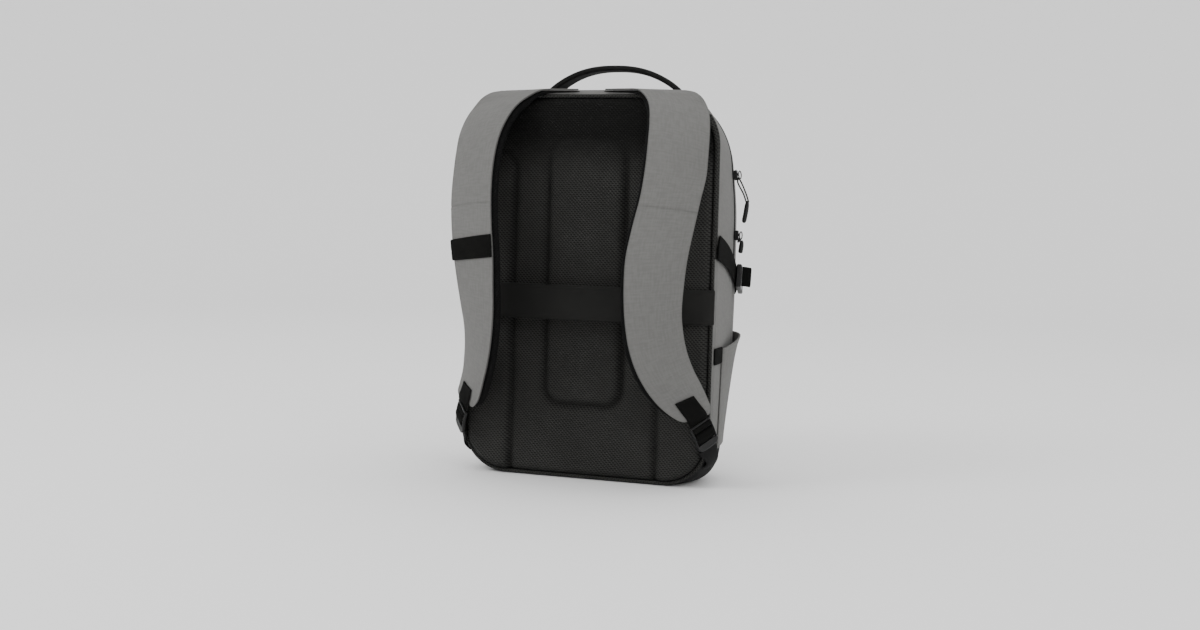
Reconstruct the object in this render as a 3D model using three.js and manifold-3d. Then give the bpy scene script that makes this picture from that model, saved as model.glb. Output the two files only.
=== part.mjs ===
// Laptop backpack seen from the back-panel side: grey shell, black padded back, two shoulder straps.
// Millimetres, +Z up. The wearer's side faces -Y, the bag's front faces +Y. Pieces are worked out from
// the rear seam plane and placed so that the origin is the middle of the base's underside.
import * as THREE from 'three';
import { mergeVertices } from 'three/addons/utils/BufferGeometryUtils.js';
import Module from 'manifold-3d';

const wasm = await Module();
wasm.setup();

// Body
const width = 302;
const height = 452;
const depth = 150;
const shellWall = 3;
const baseHeight = 40;
const baseMiddle = 52;
const clearance = 0.3;
const clothGap = 0.5;

// Zip
const zipStart = 0.56;
const zipBand = 11;
const zipCoilWidth = 4.5;
const zipCoilRise = 0.8;

// Back panel
const panelPlate = 9;
const panelBevel = 5;
const lobeHalfWidth = 46;
const lobeRise = 5;
const lobeRadius = 20;
const lobeLevels = { low: 0.197, high: 0.87 };
const sidePadHalfWidth = 24;
const sidePadRise = 4;
const sidePadAt = 0.755;
const sidePadLevels = { low: 0.07, high: 0.84 };
const pipingRadius = 2.2;

// Shoulder straps
const strapReach = 105;
const strapCover = 1.8;
const strapPad = 9;
const strapCrown = 3;
const strapEdge = 1.6;
const webbingWidth = 25;
const webbing = 1.6;
const wingThickness = 1.8;
const bandSlant = 10;
const lockLength = 31;
const lockThickness = 4.4;
const lockBar = 4.5;

// Trolley strap, haul handle
const trolleyHeight = 39.5;
const trolleyThickness = 2.4;
const trolleyGap = 19;
const handleSpan = 164;
const handleRise = 36;
const handleWidth = 25;
const handleThickness = 6.5;
const handleFoot = 16;

// Bottle pockets, side straps
const pocketWall = 1.8;
const pocketHeight = 132;
const pocketBulge = 9;
const tabHeight = 19;
const tabDrop = 11.5;
const tabRear = 3;
const sideStrapFall = 0.32;
const buckleLength = 33;
const buckleWidth = 31;
const buckleThickness = 6;
const tailLength = 10;

// Zip pulls
const sliderLength = 12;
const sliderWidth = 8;
const sliderThickness = 4;
const ringRadius = 4.6;
const ringWire = 0.7;
const pullLengths = { upper: 60, lower: 20 };
const pullThickness = 2.4;

const half = width / 2;
const right = 1;
const left = -1;

function columns(names, rows) {
  const keys = names.split(' ');
  return rows.map((row) => Object.fromEntries(keys.map((key, i) => [key, row[i]])));
}

// The body from the rear seam to the front. forward is a share of the depth at that height,
// side, topRadius and footRadius are shares of the half width, drop and rise shares of the height,
// shoulder and foot the shares by which the top and the bottom narrow.
const bodyRows = columns('forward side drop rise topRadius footRadius shoulder foot', [
  [0, 0, 0.013, 0.002, 0.4, 0.36, 0, 0],
  [0.03, -0.005, 0.003, 0, 0.41, 0.35, 0.003, 0.002],
  [0.08, -0.008, 0, 0, 0.42, 0.32, 0.008, 0.004],
  [0.35, -0.01, 0, 0, 0.46, 0.24, 0.038, 0.012],
  [0.58, -0.004, 0, 0, 0.5, 0.27, 0.055, 0.035],
  [0.68, 0.004, 0, 0, 0.51, 0.31, 0.06, 0.05],
  [0.78, 0.022, 0.003, 0, 0.52, 0.36, 0.065, 0.065],
  [0.87, 0.065, 0.01, 0.004, 0.54, 0.42, 0.065, 0.075],
  [0.945, 0.15, 0.03, 0.02, 0.55, 0.46, 0.065, 0.075],
  [0.985, 0.26, 0.065, 0.05, 0.52, 0.46, 0.065, 0.075],
  [1, 0.45, 0.13, 0.11, 0.42, 0.42, 0.055, 0.07],
]);

// How far the front stands from the rear seam at each level, as shares of the height and the depth.
const depthRows = columns('level reach', [
  [0, 0.78], [0.1, 0.82], [0.22, 0.9], [0.38, 0.98], [0.55, 1], [0.68, 0.995],
  [0.8, 0.94], [0.9, 0.87], [1, 0.8],
]);

// The body narrows above the shoulder level and below the foot level.
const shoulderLevel = 0.68;
const footLevel = 0.34;

// Shoulder strap edges from the top seam to the tip. x is a share of the half width, y of the
// strap's reach and z of the height, for the inner edge and then for the outer edge.
const strapRows = columns('innerX innerY innerZ outerX outerY outerZ', [
  [0.106, 0.02, 1.001, 0.742, 0.02, 0.997],
  [0.25, 0.05, 1.001, 0.82, 0.05, 0.991],
  [0.377, 0.11, 0.998, 0.88, 0.09, 0.977],
  [0.464, 0.215, 0.979, 0.934, 0.145, 0.95],
  [0.523, 0.352, 0.953, 0.967, 0.238, 0.92],
  [0.563, 0.514, 0.911, 0.987, 0.343, 0.878],
  [0.583, 0.648, 0.863, 0.993, 0.41, 0.83],
  [0.589, 0.752, 0.8, 0.993, 0.467, 0.781],
  [0.576, 0.838, 0.73, 0.974, 0.571, 0.723],
  [0.543, 0.933, 0.657, 0.947, 0.648, 0.657],
  [0.51, 0.99, 0.58, 0.914, 0.695, 0.586],
  [0.503, 0.99, 0.504, 0.887, 0.676, 0.515],
  [0.51, 0.952, 0.429, 0.868, 0.619, 0.451],
  [0.536, 0.905, 0.363, 0.868, 0.514, 0.394],
  [0.583, 0.825, 0.305, 0.887, 0.42, 0.347],
  [0.642, 0.72, 0.259, 0.921, 0.32, 0.305],
  [0.702, 0.59, 0.223, 0.962, 0.215, 0.268],
  [0.762, 0.46, 0.197, 1, 0.16, 0.235],
  [0.818, 0.36, 0.181, 1.024, 0.135, 0.211],
  [0.852, 0.3, 0.176, 1.014, 0.13, 0.195],
]);

// How full the strap is along its run: root, shoulder, tip.
const fullRows = columns('along full', [
  [0, 0.2], [0.06, 0.3], [0.13, 0.7], [0.2, 1], [0.8, 1], [0.92, 0.7], [1, 0.45],
]);

// Pieces on the body's sides: heights as shares of the height, forward places as shares of the depth.
const trolleyLevel = 0.459;
const pocketRear = 0.25;
const pocketFront = 0.8;
const pocketFloor = 0.01;
const pocketRimFall = 0.03;
const strapTopLevel = 0.597;
const buckleAt = 0.7;
const webbingFrontEnd = 0.93;
const sliderLevels = { upper: 0.794, lower: 0.638 };
const handleAt = 0.755;
const bandAlong = 0.52;

function slope(table, key, column, i) {
  const a = table[Math.max(i - 1, 0)];
  const b = table[Math.min(i + 1, table.length - 1)];
  return (b[column] - a[column]) / (b[key] - a[key]);
}

// A smooth curve through one column of a table.
function read(table, key, column, at) {
  const t = Math.min(Math.max(at, table[0][key]), table[table.length - 1][key]);
  const found = table.findIndex((row) => row[key] > t);
  const i = found < 0 ? table.length - 2 : Math.max(found - 1, 0);
  const [a, b] = [table[i], table[i + 1]];
  const run = b[key] - a[key];
  const s = (t - a[key]) / run;
  const rise = (b[column] - a[column]) / run;
  const sign = Math.sign(rise);
  const tamed = (m) => sign * Math.min(Math.max(m * sign, 0), 3 * Math.abs(rise));
  const m0 = tamed(slope(table, key, column, i)) * run;
  const m1 = tamed(slope(table, key, column, i + 1)) * run;
  const s2 = s * s;
  const s3 = s2 * s;
  return (2 * s3 - 3 * s2 + 1) * a[column] + (s3 - 2 * s2 + s) * m0
    + (3 * s2 - 2 * s3) * b[column] + (s3 - s2) * m1;
}

function ease(t) {
  const s = Math.min(Math.max(t, 0), 1);
  return s * s * (3 - 2 * s);
}

function reach(z) {
  return depth * read(depthRows, 'level', 'reach', z / height);
}

// The rounded outline of the body at one forward share, drawn in by shrink.
function frameAt(forward, shrink) {
  const value = (column) => read(bodyRows, 'forward', column, forward);
  const halfWidth = half * (1 - value('side')) - shrink;
  const top = height * (1 - value('drop')) - shrink;
  const bottom = height * value('rise') + shrink;
  const topRadius = half * value('topRadius') - shrink;
  const footRadius = half * value('footRadius') - shrink;
  const [shoulder, foot] = [value('shoulder'), value('foot')];
  return { halfWidth, top, bottom, topRadius, footRadius, shoulder, foot };
}

// The share of its width the outline keeps at one height.
function narrowing(frame, z) {
  const level = z / height;
  const shoulder = frame.shoulder * ease((level - shoulderLevel) / (1 - shoulderLevel));
  const foot = frame.foot * ease((footLevel - level) / footLevel);
  return 1 - shoulder - foot;
}

// Half the outline, from the middle of the bottom up the +X side to the middle of the top.
function halfOutline(frame, arcSteps = 6, sideSteps = 6) {
  const { halfWidth, top, bottom, topRadius, footRadius } = frame;
  const points = [[0, bottom], [(halfWidth - footRadius) / 2, bottom]];
  for (let i = 0; i <= arcSteps; i += 1) {
    const turn = (i / arcSteps) * Math.PI / 2;
    const [inX, upZ] = [1 - Math.sin(turn), 1 - Math.cos(turn)];
    points.push([halfWidth - footRadius * inX, bottom + footRadius * upZ]);
  }
  for (let i = 1; i < sideSteps; i += 1) {
    points.push([halfWidth, THREE.MathUtils.lerp(bottom + footRadius, top - topRadius, i / sideSteps)]);
  }
  for (let i = 0; i <= arcSteps; i += 1) {
    const turn = (i / arcSteps) * Math.PI / 2;
    const [inX, downZ] = [1 - Math.cos(turn), 1 - Math.sin(turn)];
    points.push([halfWidth - topRadius * inX, top - topRadius * downZ]);
  }
  points.push([(halfWidth - topRadius) / 2, top], [0, top]);
  return points;
}

// A whole outline, mirrored to -X, as [x, z] pairs.
function wholeOutline(points) {
  const otherHalf = points.slice(1, -1).reverse().map(([x, z]) => [-x, z]);
  return [...points, ...otherHalf];
}

function bodyRing(forward, shrink = 0) {
  const frame = frameAt(forward, shrink);
  const points = halfOutline(frame).map(([x, z]) => [x * narrowing(frame, z), z]);
  const y = (z) => forward * (reach(z) - Math.max(shrink, 0));
  return wholeOutline(points).map(([x, z]) => new THREE.Vector3(x, y(z), z));
}

// x of the body's right side at a depth y and height z.
function sideX(y, z) {
  const frame = frameAt(y / reach(z), 0);
  const { halfWidth, top, bottom, topRadius, footRadius } = frame;
  const over = Math.max(z - (top - topRadius), 0);
  const under = Math.max(bottom + footRadius - z, 0);
  const topCut = topRadius - Math.sqrt(Math.max(topRadius * topRadius - over * over, 0));
  const footCut = footRadius - Math.sqrt(Math.max(footRadius * footRadius - under * under, 0));
  return (halfWidth - topCut - footCut) * narrowing(frame, z);
}

// A closed mesh from corners and triangles, with its faces turned out.
function closed(corners, triangles) {
  const geometry = new THREE.BufferGeometry();
  const numbers = corners.flatMap((p) => [p.x, p.y, p.z]);
  geometry.setAttribute('position', new THREE.Float32BufferAttribute(numbers, 3));
  const volume = triangles.reduce((sum, [a, b, c]) => (
    sum + corners[a].dot(new THREE.Vector3().crossVectors(corners[b], corners[c]))), 0);
  const faces = volume < 0 ? triangles.map(([a, b, c]) => [a, c, b]) : triangles;
  geometry.setIndex(faces.flat());
  return geometry;
}

// A skin over a row of rings. It either joins up with itself or is filled across at both ends.
function skin(rings, joined = false) {
  const count = rings[0].length;
  const corners = rings.flat();
  const triangles = [];
  const steps = joined ? rings.length : rings.length - 1;
  for (let r = 0; r < steps; r += 1) {
    const next = (r + 1) % rings.length;
    for (let i = 0; i < count; i += 1) {
      const j = (i + 1) % count;
      const [a, b, c, d] = [r * count + i, r * count + j, next * count + j, next * count + i];
      triangles.push([a, b, c], [a, c, d]);
    }
  }
  if (!joined) {
    triangles.push(...ladder(0, count, true), ...ladder((rings.length - 1) * count, count, false));
  }
  return closed(corners, triangles);
}

// Rungs across a ring whose second half mirrors its first.
function ladder(start, count, flip) {
  const triangles = [];
  const rungs = count / 2;
  for (let i = 0; i < rungs; i += 1) {
    const [a, b] = [start + i, start + i + 1];
    const [c, d] = [start + ((count - i - 1) % count), start + ((count - i) % count)];
    if (i > 0) triangles.push([a, c, d]);
    if (i < rungs - 1) triangles.push([a, b, c]);
  }
  return flip ? triangles.map(([a, b, c]) => [a, c, b]) : triangles;
}

// A closed solid between two grids of points. Both grids are split along the same diagonals.
function shell(under, over) {
  const [rows, across] = [under.length, under[0].length];
  const at = (layer, i, j) => (layer * rows + i) * across + j;
  const triangles = [];
  const quad = (a, b, c, d) => triangles.push([a, b, c], [a, c, d]);
  for (let i = 0; i < rows - 1; i += 1) {
    for (let j = 0; j < across - 1; j += 1) {
      quad(at(1, i, j), at(1, i + 1, j), at(1, i + 1, j + 1), at(1, i, j + 1));
      const [a, b, c, d] = [at(0, i, j), at(0, i + 1, j), at(0, i + 1, j + 1), at(0, i, j + 1)];
      triangles.push([a, c, b], [a, d, c]);
    }
    quad(at(0, i, 0), at(0, i + 1, 0), at(1, i + 1, 0), at(1, i, 0));
    quad(at(1, i, across - 1), at(1, i + 1, across - 1), at(0, i + 1, across - 1), at(0, i, across - 1));
  }
  for (let j = 0; j < across - 1; j += 1) {
    quad(at(1, 0, j), at(1, 0, j + 1), at(0, 0, j + 1), at(0, 0, j));
    quad(at(0, rows - 1, j), at(0, rows - 1, j + 1), at(1, rows - 1, j + 1), at(1, rows - 1, j));
  }
  return closed([...under.flat(), ...over.flat()], triangles);
}

// A grid of points moved off along its own normals by a number or a function of (row, column).
function lifted(grid, lift) {
  const [rows, across] = [grid.length, grid[0].length];
  return grid.map((row, i) => row.map((point, j) => {
    const along = grid[Math.min(i + 1, rows - 1)][j].clone().sub(grid[Math.max(i - 1, 0)][j]);
    const side = grid[i][Math.min(j + 1, across - 1)].clone().sub(grid[i][Math.max(j - 1, 0)]);
    const distance = typeof lift === 'function' ? lift(i, j) : lift;
    return point.clone().addScaledVector(along.cross(side).normalize(), distance);
  }));
}

function sheet(grid, low, high) {
  return shell(lifted(grid, low), lifted(grid, high));
}

function asSolid(geometry) {
  const bare = geometry.clone();
  bare.deleteAttribute('normal');
  bare.deleteAttribute('uv');
  const merged = mergeVertices(bare, 1e-4);
  return new wasm.Manifold(new wasm.Mesh({
    numProp: 3,
    vertProperties: Float32Array.from(merged.attributes.position.array),
    triVerts: Uint32Array.from(merged.index.array),
  }));
}

function asGeometry(solid) {
  const mesh = solid.getMesh();
  const geometry = new THREE.BufferGeometry();
  geometry.setAttribute('position', new THREE.Float32BufferAttribute(mesh.vertProperties, 3));
  geometry.setIndex(new THREE.Uint32BufferAttribute(mesh.triVerts, 1));
  return geometry;
}

function joinAll(geometries) {
  return asGeometry(geometries.map(asSolid).reduce((sum, next) => sum.add(next)));
}

// The stretch of a solid between two heights.
function between(geometry, low, high) {
  const slab = new THREE.BoxGeometry(width * 2, depth * 4, high - low);
  slab.translate(0, 0, (low + high) / 2);
  return asGeometry(asSolid(geometry).intersect(asSolid(slab)));
}

const root = new THREE.Group();
const finishes = {
  greyCloth: { color: 0x7f7e7b, roughness: 0.85, metalness: 0 },
  blackCloth: { color: 0x1b1b1a, roughness: 0.8, metalness: 0 },
  blackMesh: { color: 0x272725, roughness: 0.9, metalness: 0 },
  blackWebbing: { color: 0x161615, roughness: 0.75, metalness: 0 },
  blackPlastic: { color: 0x101010, roughness: 0.4, metalness: 0 },
};
const materials = Object.fromEntries(Object.entries(finishes).map(([name, look]) => (
  [name, new THREE.MeshStandardMaterial(look)])));

function place(name, geometry, finish) {
  const mesh = new THREE.Mesh(geometry.translate(0, -baseMiddle, 0), materials[finish]);
  mesh.name = name;
  root.add(mesh);
  return mesh;
}

const sideNames = [['right', right], ['left', left]];

// Body shell: a rear gusset, a zip band and a front dish above a black tray.
const zipEnd = zipStart + zipBand / depth;
const cut = clearance / 2;
const cutShare = cut / depth;

function shares(from, to, steps) {
  return Array.from({ length: steps + 1 }, (_, i) => THREE.MathUtils.lerp(from, to, i / steps));
}

function bodyBand(outer) {
  const inner = outer.map(({ forward }) => bodyRing(forward, shellWall)).reverse();
  return skin([...outer.map(({ forward, proud = 0 }) => bodyRing(forward, -proud)), ...inner], true);
}

const frontShares = [...shares(zipEnd + cutShare, 0.87, 3), 0.915, 0.95, 0.975, 0.99, 1];

function bodyDish(forwards) {
  const outer = forwards.map((forward) => bodyRing(forward));
  const inner = forwards.map((forward) => bodyRing(forward, shellWall)).reverse();
  return skin([...inner, ...outer]);
}

const rearShares = [0, 0.012, 0.03, 0.08, 0.22, 0.4];
const top = height + handleRise * 2;
const rearBand = bodyBand([...rearShares, zipStart - cutShare].map((forward) => ({ forward })));
place('rear_gusset', between(rearBand, baseHeight + cut, top), 'greyCloth');

const zipMiddle = (zipStart + zipEnd) / 2;
const coilShare = zipCoilWidth / 2 / depth;
const coilSlope = coilShare / 4;
const zipRows = [
  { forward: zipStart + cutShare },
  { forward: zipMiddle - coilShare },
  { forward: zipMiddle - coilShare + coilSlope, proud: zipCoilRise },
  { forward: zipMiddle + coilShare - coilSlope, proud: zipCoilRise },
  { forward: zipMiddle + coilShare },
  { forward: zipEnd - cutShare },
];
place('main_zip', between(bodyBand(zipRows), baseHeight + cut, top), 'blackCloth');
place('front_shell', between(bodyDish(frontShares), baseHeight + cut, top), 'greyCloth');
const wholeShares = [...rearShares, zipStart, ...frontShares];
place('base_panel', between(bodyDish(wholeShares), -height, baseHeight - cut), 'blackCloth');

// Back panel: a padded plate with a centre lobe and two side pads, and a piping round its edge.
function panelRing(y, inset) {
  const frame = frameAt(0, inset);
  const points = halfOutline(frame).map(([x, z]) => [x * narrowing(frame, z), z]);
  return wholeOutline(points).map(([x, z]) => new THREE.Vector3(x, y, z));
}

const panelInset = 2 * pipingRadius + clearance;
const panelFront = -(clearance + panelPlate);
const plate = skin([
  panelRing(-clearance, panelInset),
  panelRing(panelFront + panelBevel, panelInset),
  panelRing(panelFront + panelBevel * 0.3, panelInset + panelBevel * 0.3),
  panelRing(panelFront, panelInset + panelBevel),
]);

// A raised pad on the plate, with an eased edge.
function raisedPad(centreX, halfWidth, { low, high }, rise) {
  const ring = (y, inset) => wholeOutline(halfOutline({
    halfWidth: halfWidth - inset,
    top: high * height - inset,
    bottom: low * height + inset,
    topRadius: lobeRadius - inset,
    footRadius: lobeRadius - inset,
  }, 4, 1)).map(([x, z]) => new THREE.Vector3(centreX + x, y, z));
  const front = panelFront - rise;
  return skin([
    ring(panelFront + panelPlate / 2, 0),
    ring(front + rise * 0.6, 0),
    ring(front + rise * 0.15, rise * 0.35),
    ring(front, rise),
  ]);
}

const sidePads = [left, right].map((side) => (
  raisedPad(side * sidePadAt * half, sidePadHalfWidth, sidePadLevels, sidePadRise)));
const lobe = raisedPad(0, lobeHalfWidth, lobeLevels, lobeRise);
place('back_panel', joinAll([plate, lobe, ...sidePads]), 'blackMesh');

// A round bead that follows the rear outline.
function edgeBead(radius, y, sides = 6) {
  const path = panelRing(y, radius);
  const outer = panelRing(y, 0);
  const rings = path.map((centre, i) => {
    const out = outer[i].clone().sub(centre).normalize();
    return Array.from({ length: sides }, (_, k) => {
      const angle = (k / sides) * Math.PI * 2;
      return centre.clone().addScaledVector(out, radius * Math.cos(angle))
        .add(new THREE.Vector3(0, radius * Math.sin(angle), 0));
    });
  });
  return skin(rings, true);
}

place('panel_piping', edgeBead(pipingRadius, -(pipingRadius + clearance)), 'blackCloth');

// Shoulder straps
const strapEdges = ['inner', 'outer'].map((edge) => new THREE.CatmullRomCurve3(strapRows.map((row) => (
  new THREE.Vector3(row[`${edge}X`] * half, -row[`${edge}Y`] * strapReach, row[`${edge}Z`] * height)))));

// The strap's frame at a share of its run: middle, across, and out, which points off the wearer's side.
function strapFrame(along) {
  const [inner, outer] = strapEdges.map((edge) => edge.getPoint(along));
  const [fore, aft] = [Math.min(along + 0.01, 1), Math.max(along - 0.01, 0)];
  const middle = (at) => strapEdges[0].getPoint(at).add(strapEdges[1].getPoint(at)).multiplyScalar(0.5);
  const run = middle(fore).sub(middle(aft)).normalize();
  const across = outer.clone().sub(inner).normalize();
  const out = new THREE.Vector3().crossVectors(run, across).normalize();
  return { inner, outer, run, across, out };
}

// A point on the strap. across runs from 0 at the inner edge to 1 at the outer one.
function strapPoint(side, along, across, lift) {
  const { inner, outer, out } = strapFrame(along);
  const crown = strapCrown * read(fullRows, 'along', 'full', along) * (1 - (2 * across - 1) ** 2);
  const point = inner.lerp(outer, across).addScaledVector(out, crown + lift);
  return new THREE.Vector3(side * point.x, point.y, point.z);
}

const strapSteps = 22;

// A layer of the strap between two rows of [across, lift] pairs, each worked out at every share of
// the run. skew moves the outer edge that much further down the run than the inner edge.
function strapLayer(side, alongs, under, over, skew = 0) {
  const grid = (section) => alongs.map((along) => section(along).map(([across, lift]) => (
    strapPoint(side, along + skew * (across - 0.5), across, lift))));
  return shell(grid(under), grid(over));
}

// Millimetres of strap for each whole share of its run, at one place on it.
function strapStretch(along) {
  const step = 0.01;
  const [before, after] = [along - step, along + step].map((at) => strapPoint(right, at, 0.5, 0));
  return before.distanceTo(after) / (2 * step);
}

function strapWidth(along) {
  return strapPoint(right, along, 0, 0).distanceTo(strapPoint(right, along, 1, 0));
}

const crossSteps = 3;

function flat(lift) {
  return () => shares(0, 1, crossSteps).map((across) => [across, lift]);
}

// The padded foam: full in the middle, rounded at its two edges, thin at the root.
function foam(share) {
  return (along) => {
    const fullness = strapPad * read(fullRows, 'along', 'full', along);
    const edge = strapEdge / strapWidth(along);
    const rounded = share ? 0.75 : 0.25;
    const seat = strapCover + clearance;
    const middle = shares(0, 1, crossSteps).map((across) => [across, -(seat + fullness * share)]);
    const side = -(seat + fullness * rounded);
    return [[-edge, side], ...middle, [1 + edge, side]];
  };
}

sideNames.forEach(([name, side]) => {
  const run = shares(0, 1, strapSteps);
  place(`strap_pad_${name}`, strapLayer(side, run, foam(1), foam(0)), 'blackMesh');
  place(`strap_cover_${name}`, strapLayer(side, run, flat(-strapCover), flat(0)), 'greyCloth');
});

// A webbing band across the left strap, turned down over its outer edge.
const bandHalf = webbingWidth / 2 / strapStretch(bandAlong);
const bandSkew = bandSlant / strapStretch(bandAlong);
const bandTurn = (strapEdge + clearance * 3) / strapWidth(bandAlong);
const bandThick = webbing / strapWidth(bandAlong);
const bandSection = (lift, out) => () => [
  ...shares(0, 1, crossSteps).map((across) => [across, lift]),
  [1 + bandTurn + out, -strapPad * 0.3],
  [1 + bandTurn + out, -strapPad],
];
const bandRun = shares(bandAlong - bandHalf, bandAlong + bandHalf, 2);
const bandUnder = bandSection(clothGap, 0);
const bandOver = bandSection(clothGap + webbing, bandThick);
place('strap_band_left', strapLayer(left, bandRun, bandUnder, bandOver, bandSkew), 'blackWebbing');

// Strap adjusters: a webbing patch on the strap's end, a ladder lock, and webbing down to a corner wing.
const lockRun = new THREE.Vector3(0.28, 0.38, -0.88).normalize();
const lockAcross = new THREE.Vector3(0.56, 0.62, 0.52).projectOnPlane(lockRun).normalize();
const lockOut = new THREE.Vector3().crossVectors(lockRun, lockAcross);
const lockGap = 5;
const lockCentre = strapPoint(right, 1, 0.5, 0).addScaledVector(lockRun, lockGap + lockLength / 2);
const lockWidth = webbingWidth + 2 * lockBar;
const patchAlong = 0.86;

// A point of the adjuster: along its run, across it, and out from its middle plane.
function lockPoint(side, along, across, out) {
  const point = lockCentre.clone().addScaledVector(lockRun, along)
    .addScaledVector(lockAcross, across).addScaledVector(lockOut, out);
  return new THREE.Vector3(side * point.x, point.y, point.z);
}

const webbingAcross = [-webbingWidth / 2, 0, webbingWidth / 2];

function patchGrid(side, lift) {
  const onStrap = shares(patchAlong, 1, 5).map((along) => webbingAcross.map((across) => (
    strapPoint(side, along, 0.5 + across / strapWidth(along), lift))));
  const end = -(lockLength / 2 + clearance);
  return [...onStrap, webbingAcross.map((across) => lockPoint(side, end, across, lift - webbing / 2))];
}

// The lower webbing seen from its side. along runs down the lock as a share of its length, and out
// stands off its plane as a share of its thickness.
const loopRows = columns('along out', [
  [-0.21, -0.45], [-0.152, 0.27], [-0.077, 0.8], [0, 0.84], [0.077, 0.8], [0.168, 0.14],
  [0.258, -0.66], [0.42, -0.93], [0.6, -0.93],
]).map(({ along, out }) => ({ along: along * lockLength, out: out * lockThickness }));

const bevelSize = 1;
const bevel = { bevelThickness: bevelSize, bevelSize, bevelOffset: -bevelSize, bevelSegments: 1 };

// A plate with two slots and three bars, the outer two bars slightly rounded at their ends.
function ladderLock(side) {
  const [halfLong, halfWide] = [lockLength / 2, lockWidth / 2];
  const shape = new THREE.Shape();
  shape.moveTo(-halfLong + lockBar, -halfWide);
  shape.lineTo(halfLong - lockBar, -halfWide);
  shape.quadraticCurveTo(halfLong, -halfWide, halfLong, -halfWide + lockBar);
  shape.lineTo(halfLong, halfWide - lockBar);
  shape.quadraticCurveTo(halfLong, halfWide, halfLong - lockBar, halfWide);
  shape.lineTo(-halfLong + lockBar, halfWide);
  shape.quadraticCurveTo(-halfLong, halfWide, -halfLong, halfWide - lockBar);
  shape.lineTo(-halfLong, -halfWide + lockBar);
  shape.quadraticCurveTo(-halfLong, -halfWide, -halfLong + lockBar, -halfWide);
  const thickness = lockThickness - 2 * bevelSize;
  const body = new THREE.ExtrudeGeometry(shape, { depth: thickness, curveSegments: 3, ...bevel });
  body.translate(0, 0, -thickness / 2);
  const slotLong = (lockLength - 3 * lockBar) / 2;
  const slots = [-1, 1].map((end) => {
    const slot = new THREE.BoxGeometry(slotLong, webbingWidth + 2 * clearance, lockThickness * 2);
    return asSolid(slot.translate(end * (slotLong + lockBar) / 2, 0, 0));
  });
  const geometry = asGeometry(slots.reduce((solid, slot) => solid.subtract(slot), asSolid(body)));
  geometry.applyMatrix4(basis(lockRun, lockAcross, lockOut, lockCentre));
  return side === right ? geometry : mirrored(geometry);
}

// The place and directions of a small piece, as a matrix.
function basis(first, second, third, centre) {
  return new THREE.Matrix4().makeBasis(first, second, third).setPosition(centre);
}

function mirrored(geometry) {
  const copy = geometry.clone();
  copy.applyMatrix4(new THREE.Matrix4().makeScale(-1, 1, 1));
  const index = copy.index.array;
  for (let i = 0; i < index.length; i += 3) [index[i], index[i + 1]] = [index[i + 1], index[i]];
  return copy;
}

const wingLevel = 0.053;
const wingRear = 2;
const wingStraight = 10;

// The wing carries on from the webbing's end and turns over the rear seam to the base's side.
function wingGrid(side) {
  const { along, out } = loopRows.at(-1);
  const starts = [along + clothGap, along + clothGap + wingStraight];
  const seat = clothGap + wingThickness / 2;
  const landings = [[wingStraight, seat + 3 * pipingRadius], [0, seat]];
  const curves = shares(0, 1, 3).map((across) => new THREE.CubicBezierCurve3(
    ...starts.map((at) => lockPoint(side, at, (across - 0.5) * webbingWidth, out)),
    ...landings.map(([above, lift]) => (
      sidePoint(side, wingRear + across * webbingWidth, wingLevel * height + above, lift))),
  ));
  return shares(0, 1, 6).map((down) => curves.map((curve) => curve.getPoint(down)));
}

// x of the rear outline at a height.
function seamX(z) {
  return sideX(0, z);
}

sideNames.forEach(([name, side]) => {
  const patch = shell(patchGrid(side, clothGap), patchGrid(side, clothGap + webbing));
  place(`strap_patch_${name}`, patch, 'blackWebbing');
  place(`ladder_lock_${name}`, ladderLock(side), 'blackPlastic');
  const loop = loopRows.map(({ along, out }) => (
    webbingAcross.map((across) => lockPoint(side, along, across, out))));
  place(`strap_webbing_${name}`, sheet(loop, -webbing / 2, webbing / 2), 'blackWebbing');
  place(`strap_wing_${name}`, sheet(wingGrid(side), -wingThickness / 2, wingThickness / 2), 'blackCloth');
});

// Trolley strap: sewn into both side seams, standing off the middle of the panel.
const trolleyRows = columns('across hug stand', [
  [0, 1, 1], [0.3, 1, 0.96], [0.5, 1, 0.78], [0.68, 1, 0.4], [0.84, 1, 0.06],
  [0.93, 0.95, 0], [0.97, 0.66, 0], [0.99, 0.38, 0], [1, 0.2, 0],
]);
const trolleyBase = clearance + panelPlate + sidePadRise + clothGap;
const trolleyShares = [0, 0.15, 0.3, 0.42, 0.54, 0.66, 0.78, 0.88, 0.93, 0.96, 0.98, 1];

function trolleyRow(across, z) {
  const share = Math.abs(across);
  const hug = read(trolleyRows, 'across', 'hug', share);
  const stand = read(trolleyRows, 'across', 'stand', share);
  const reachX = (seamX(z) + clothGap + clearance) * across;
  return new THREE.Vector3(reachX, -(hug * trolleyBase + stand * trolleyGap), z);
}

const trolleyLow = trolleyLevel * height - trolleyHeight / 2;
const trolleyGrid = [...trolleyShares.slice(1).reverse().map((share) => -share), ...trolleyShares]
  .map((across) => [0, 0.5, 1].map((up) => trolleyRow(across, trolleyLow + up * trolleyHeight)));
place('trolley_strap', sheet(trolleyGrid, 0, trolleyThickness), 'blackCloth');

// Haul handle: a padded webbing arch on the top, with a flat foot at each end.
function topZ(x, y) {
  let z = height;
  for (let i = 0; i < 4; i += 1) {
    const frame = frameAt(y / reach(z), 0);
    const over = Math.max(Math.abs(x) / narrowing(frame, z) - (frame.halfWidth - frame.topRadius), 0);
    z = frame.top - frame.topRadius + Math.sqrt(frame.topRadius ** 2 - over ** 2);
  }
  return z;
}

const handleY = reach(height) * handleAt;
const archPower = 2.4;

function handlePoint(x, y) {
  const share = Math.abs(x) / (handleSpan / 2);
  const ground = topZ(x, y) + clothGap;
  if (share >= 1) return new THREE.Vector3(x, y, ground);
  const arch = height + handleRise - handleThickness;
  return new THREE.Vector3(x, y, ground + (arch - ground) * (1 - share ** archPower));
}

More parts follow.
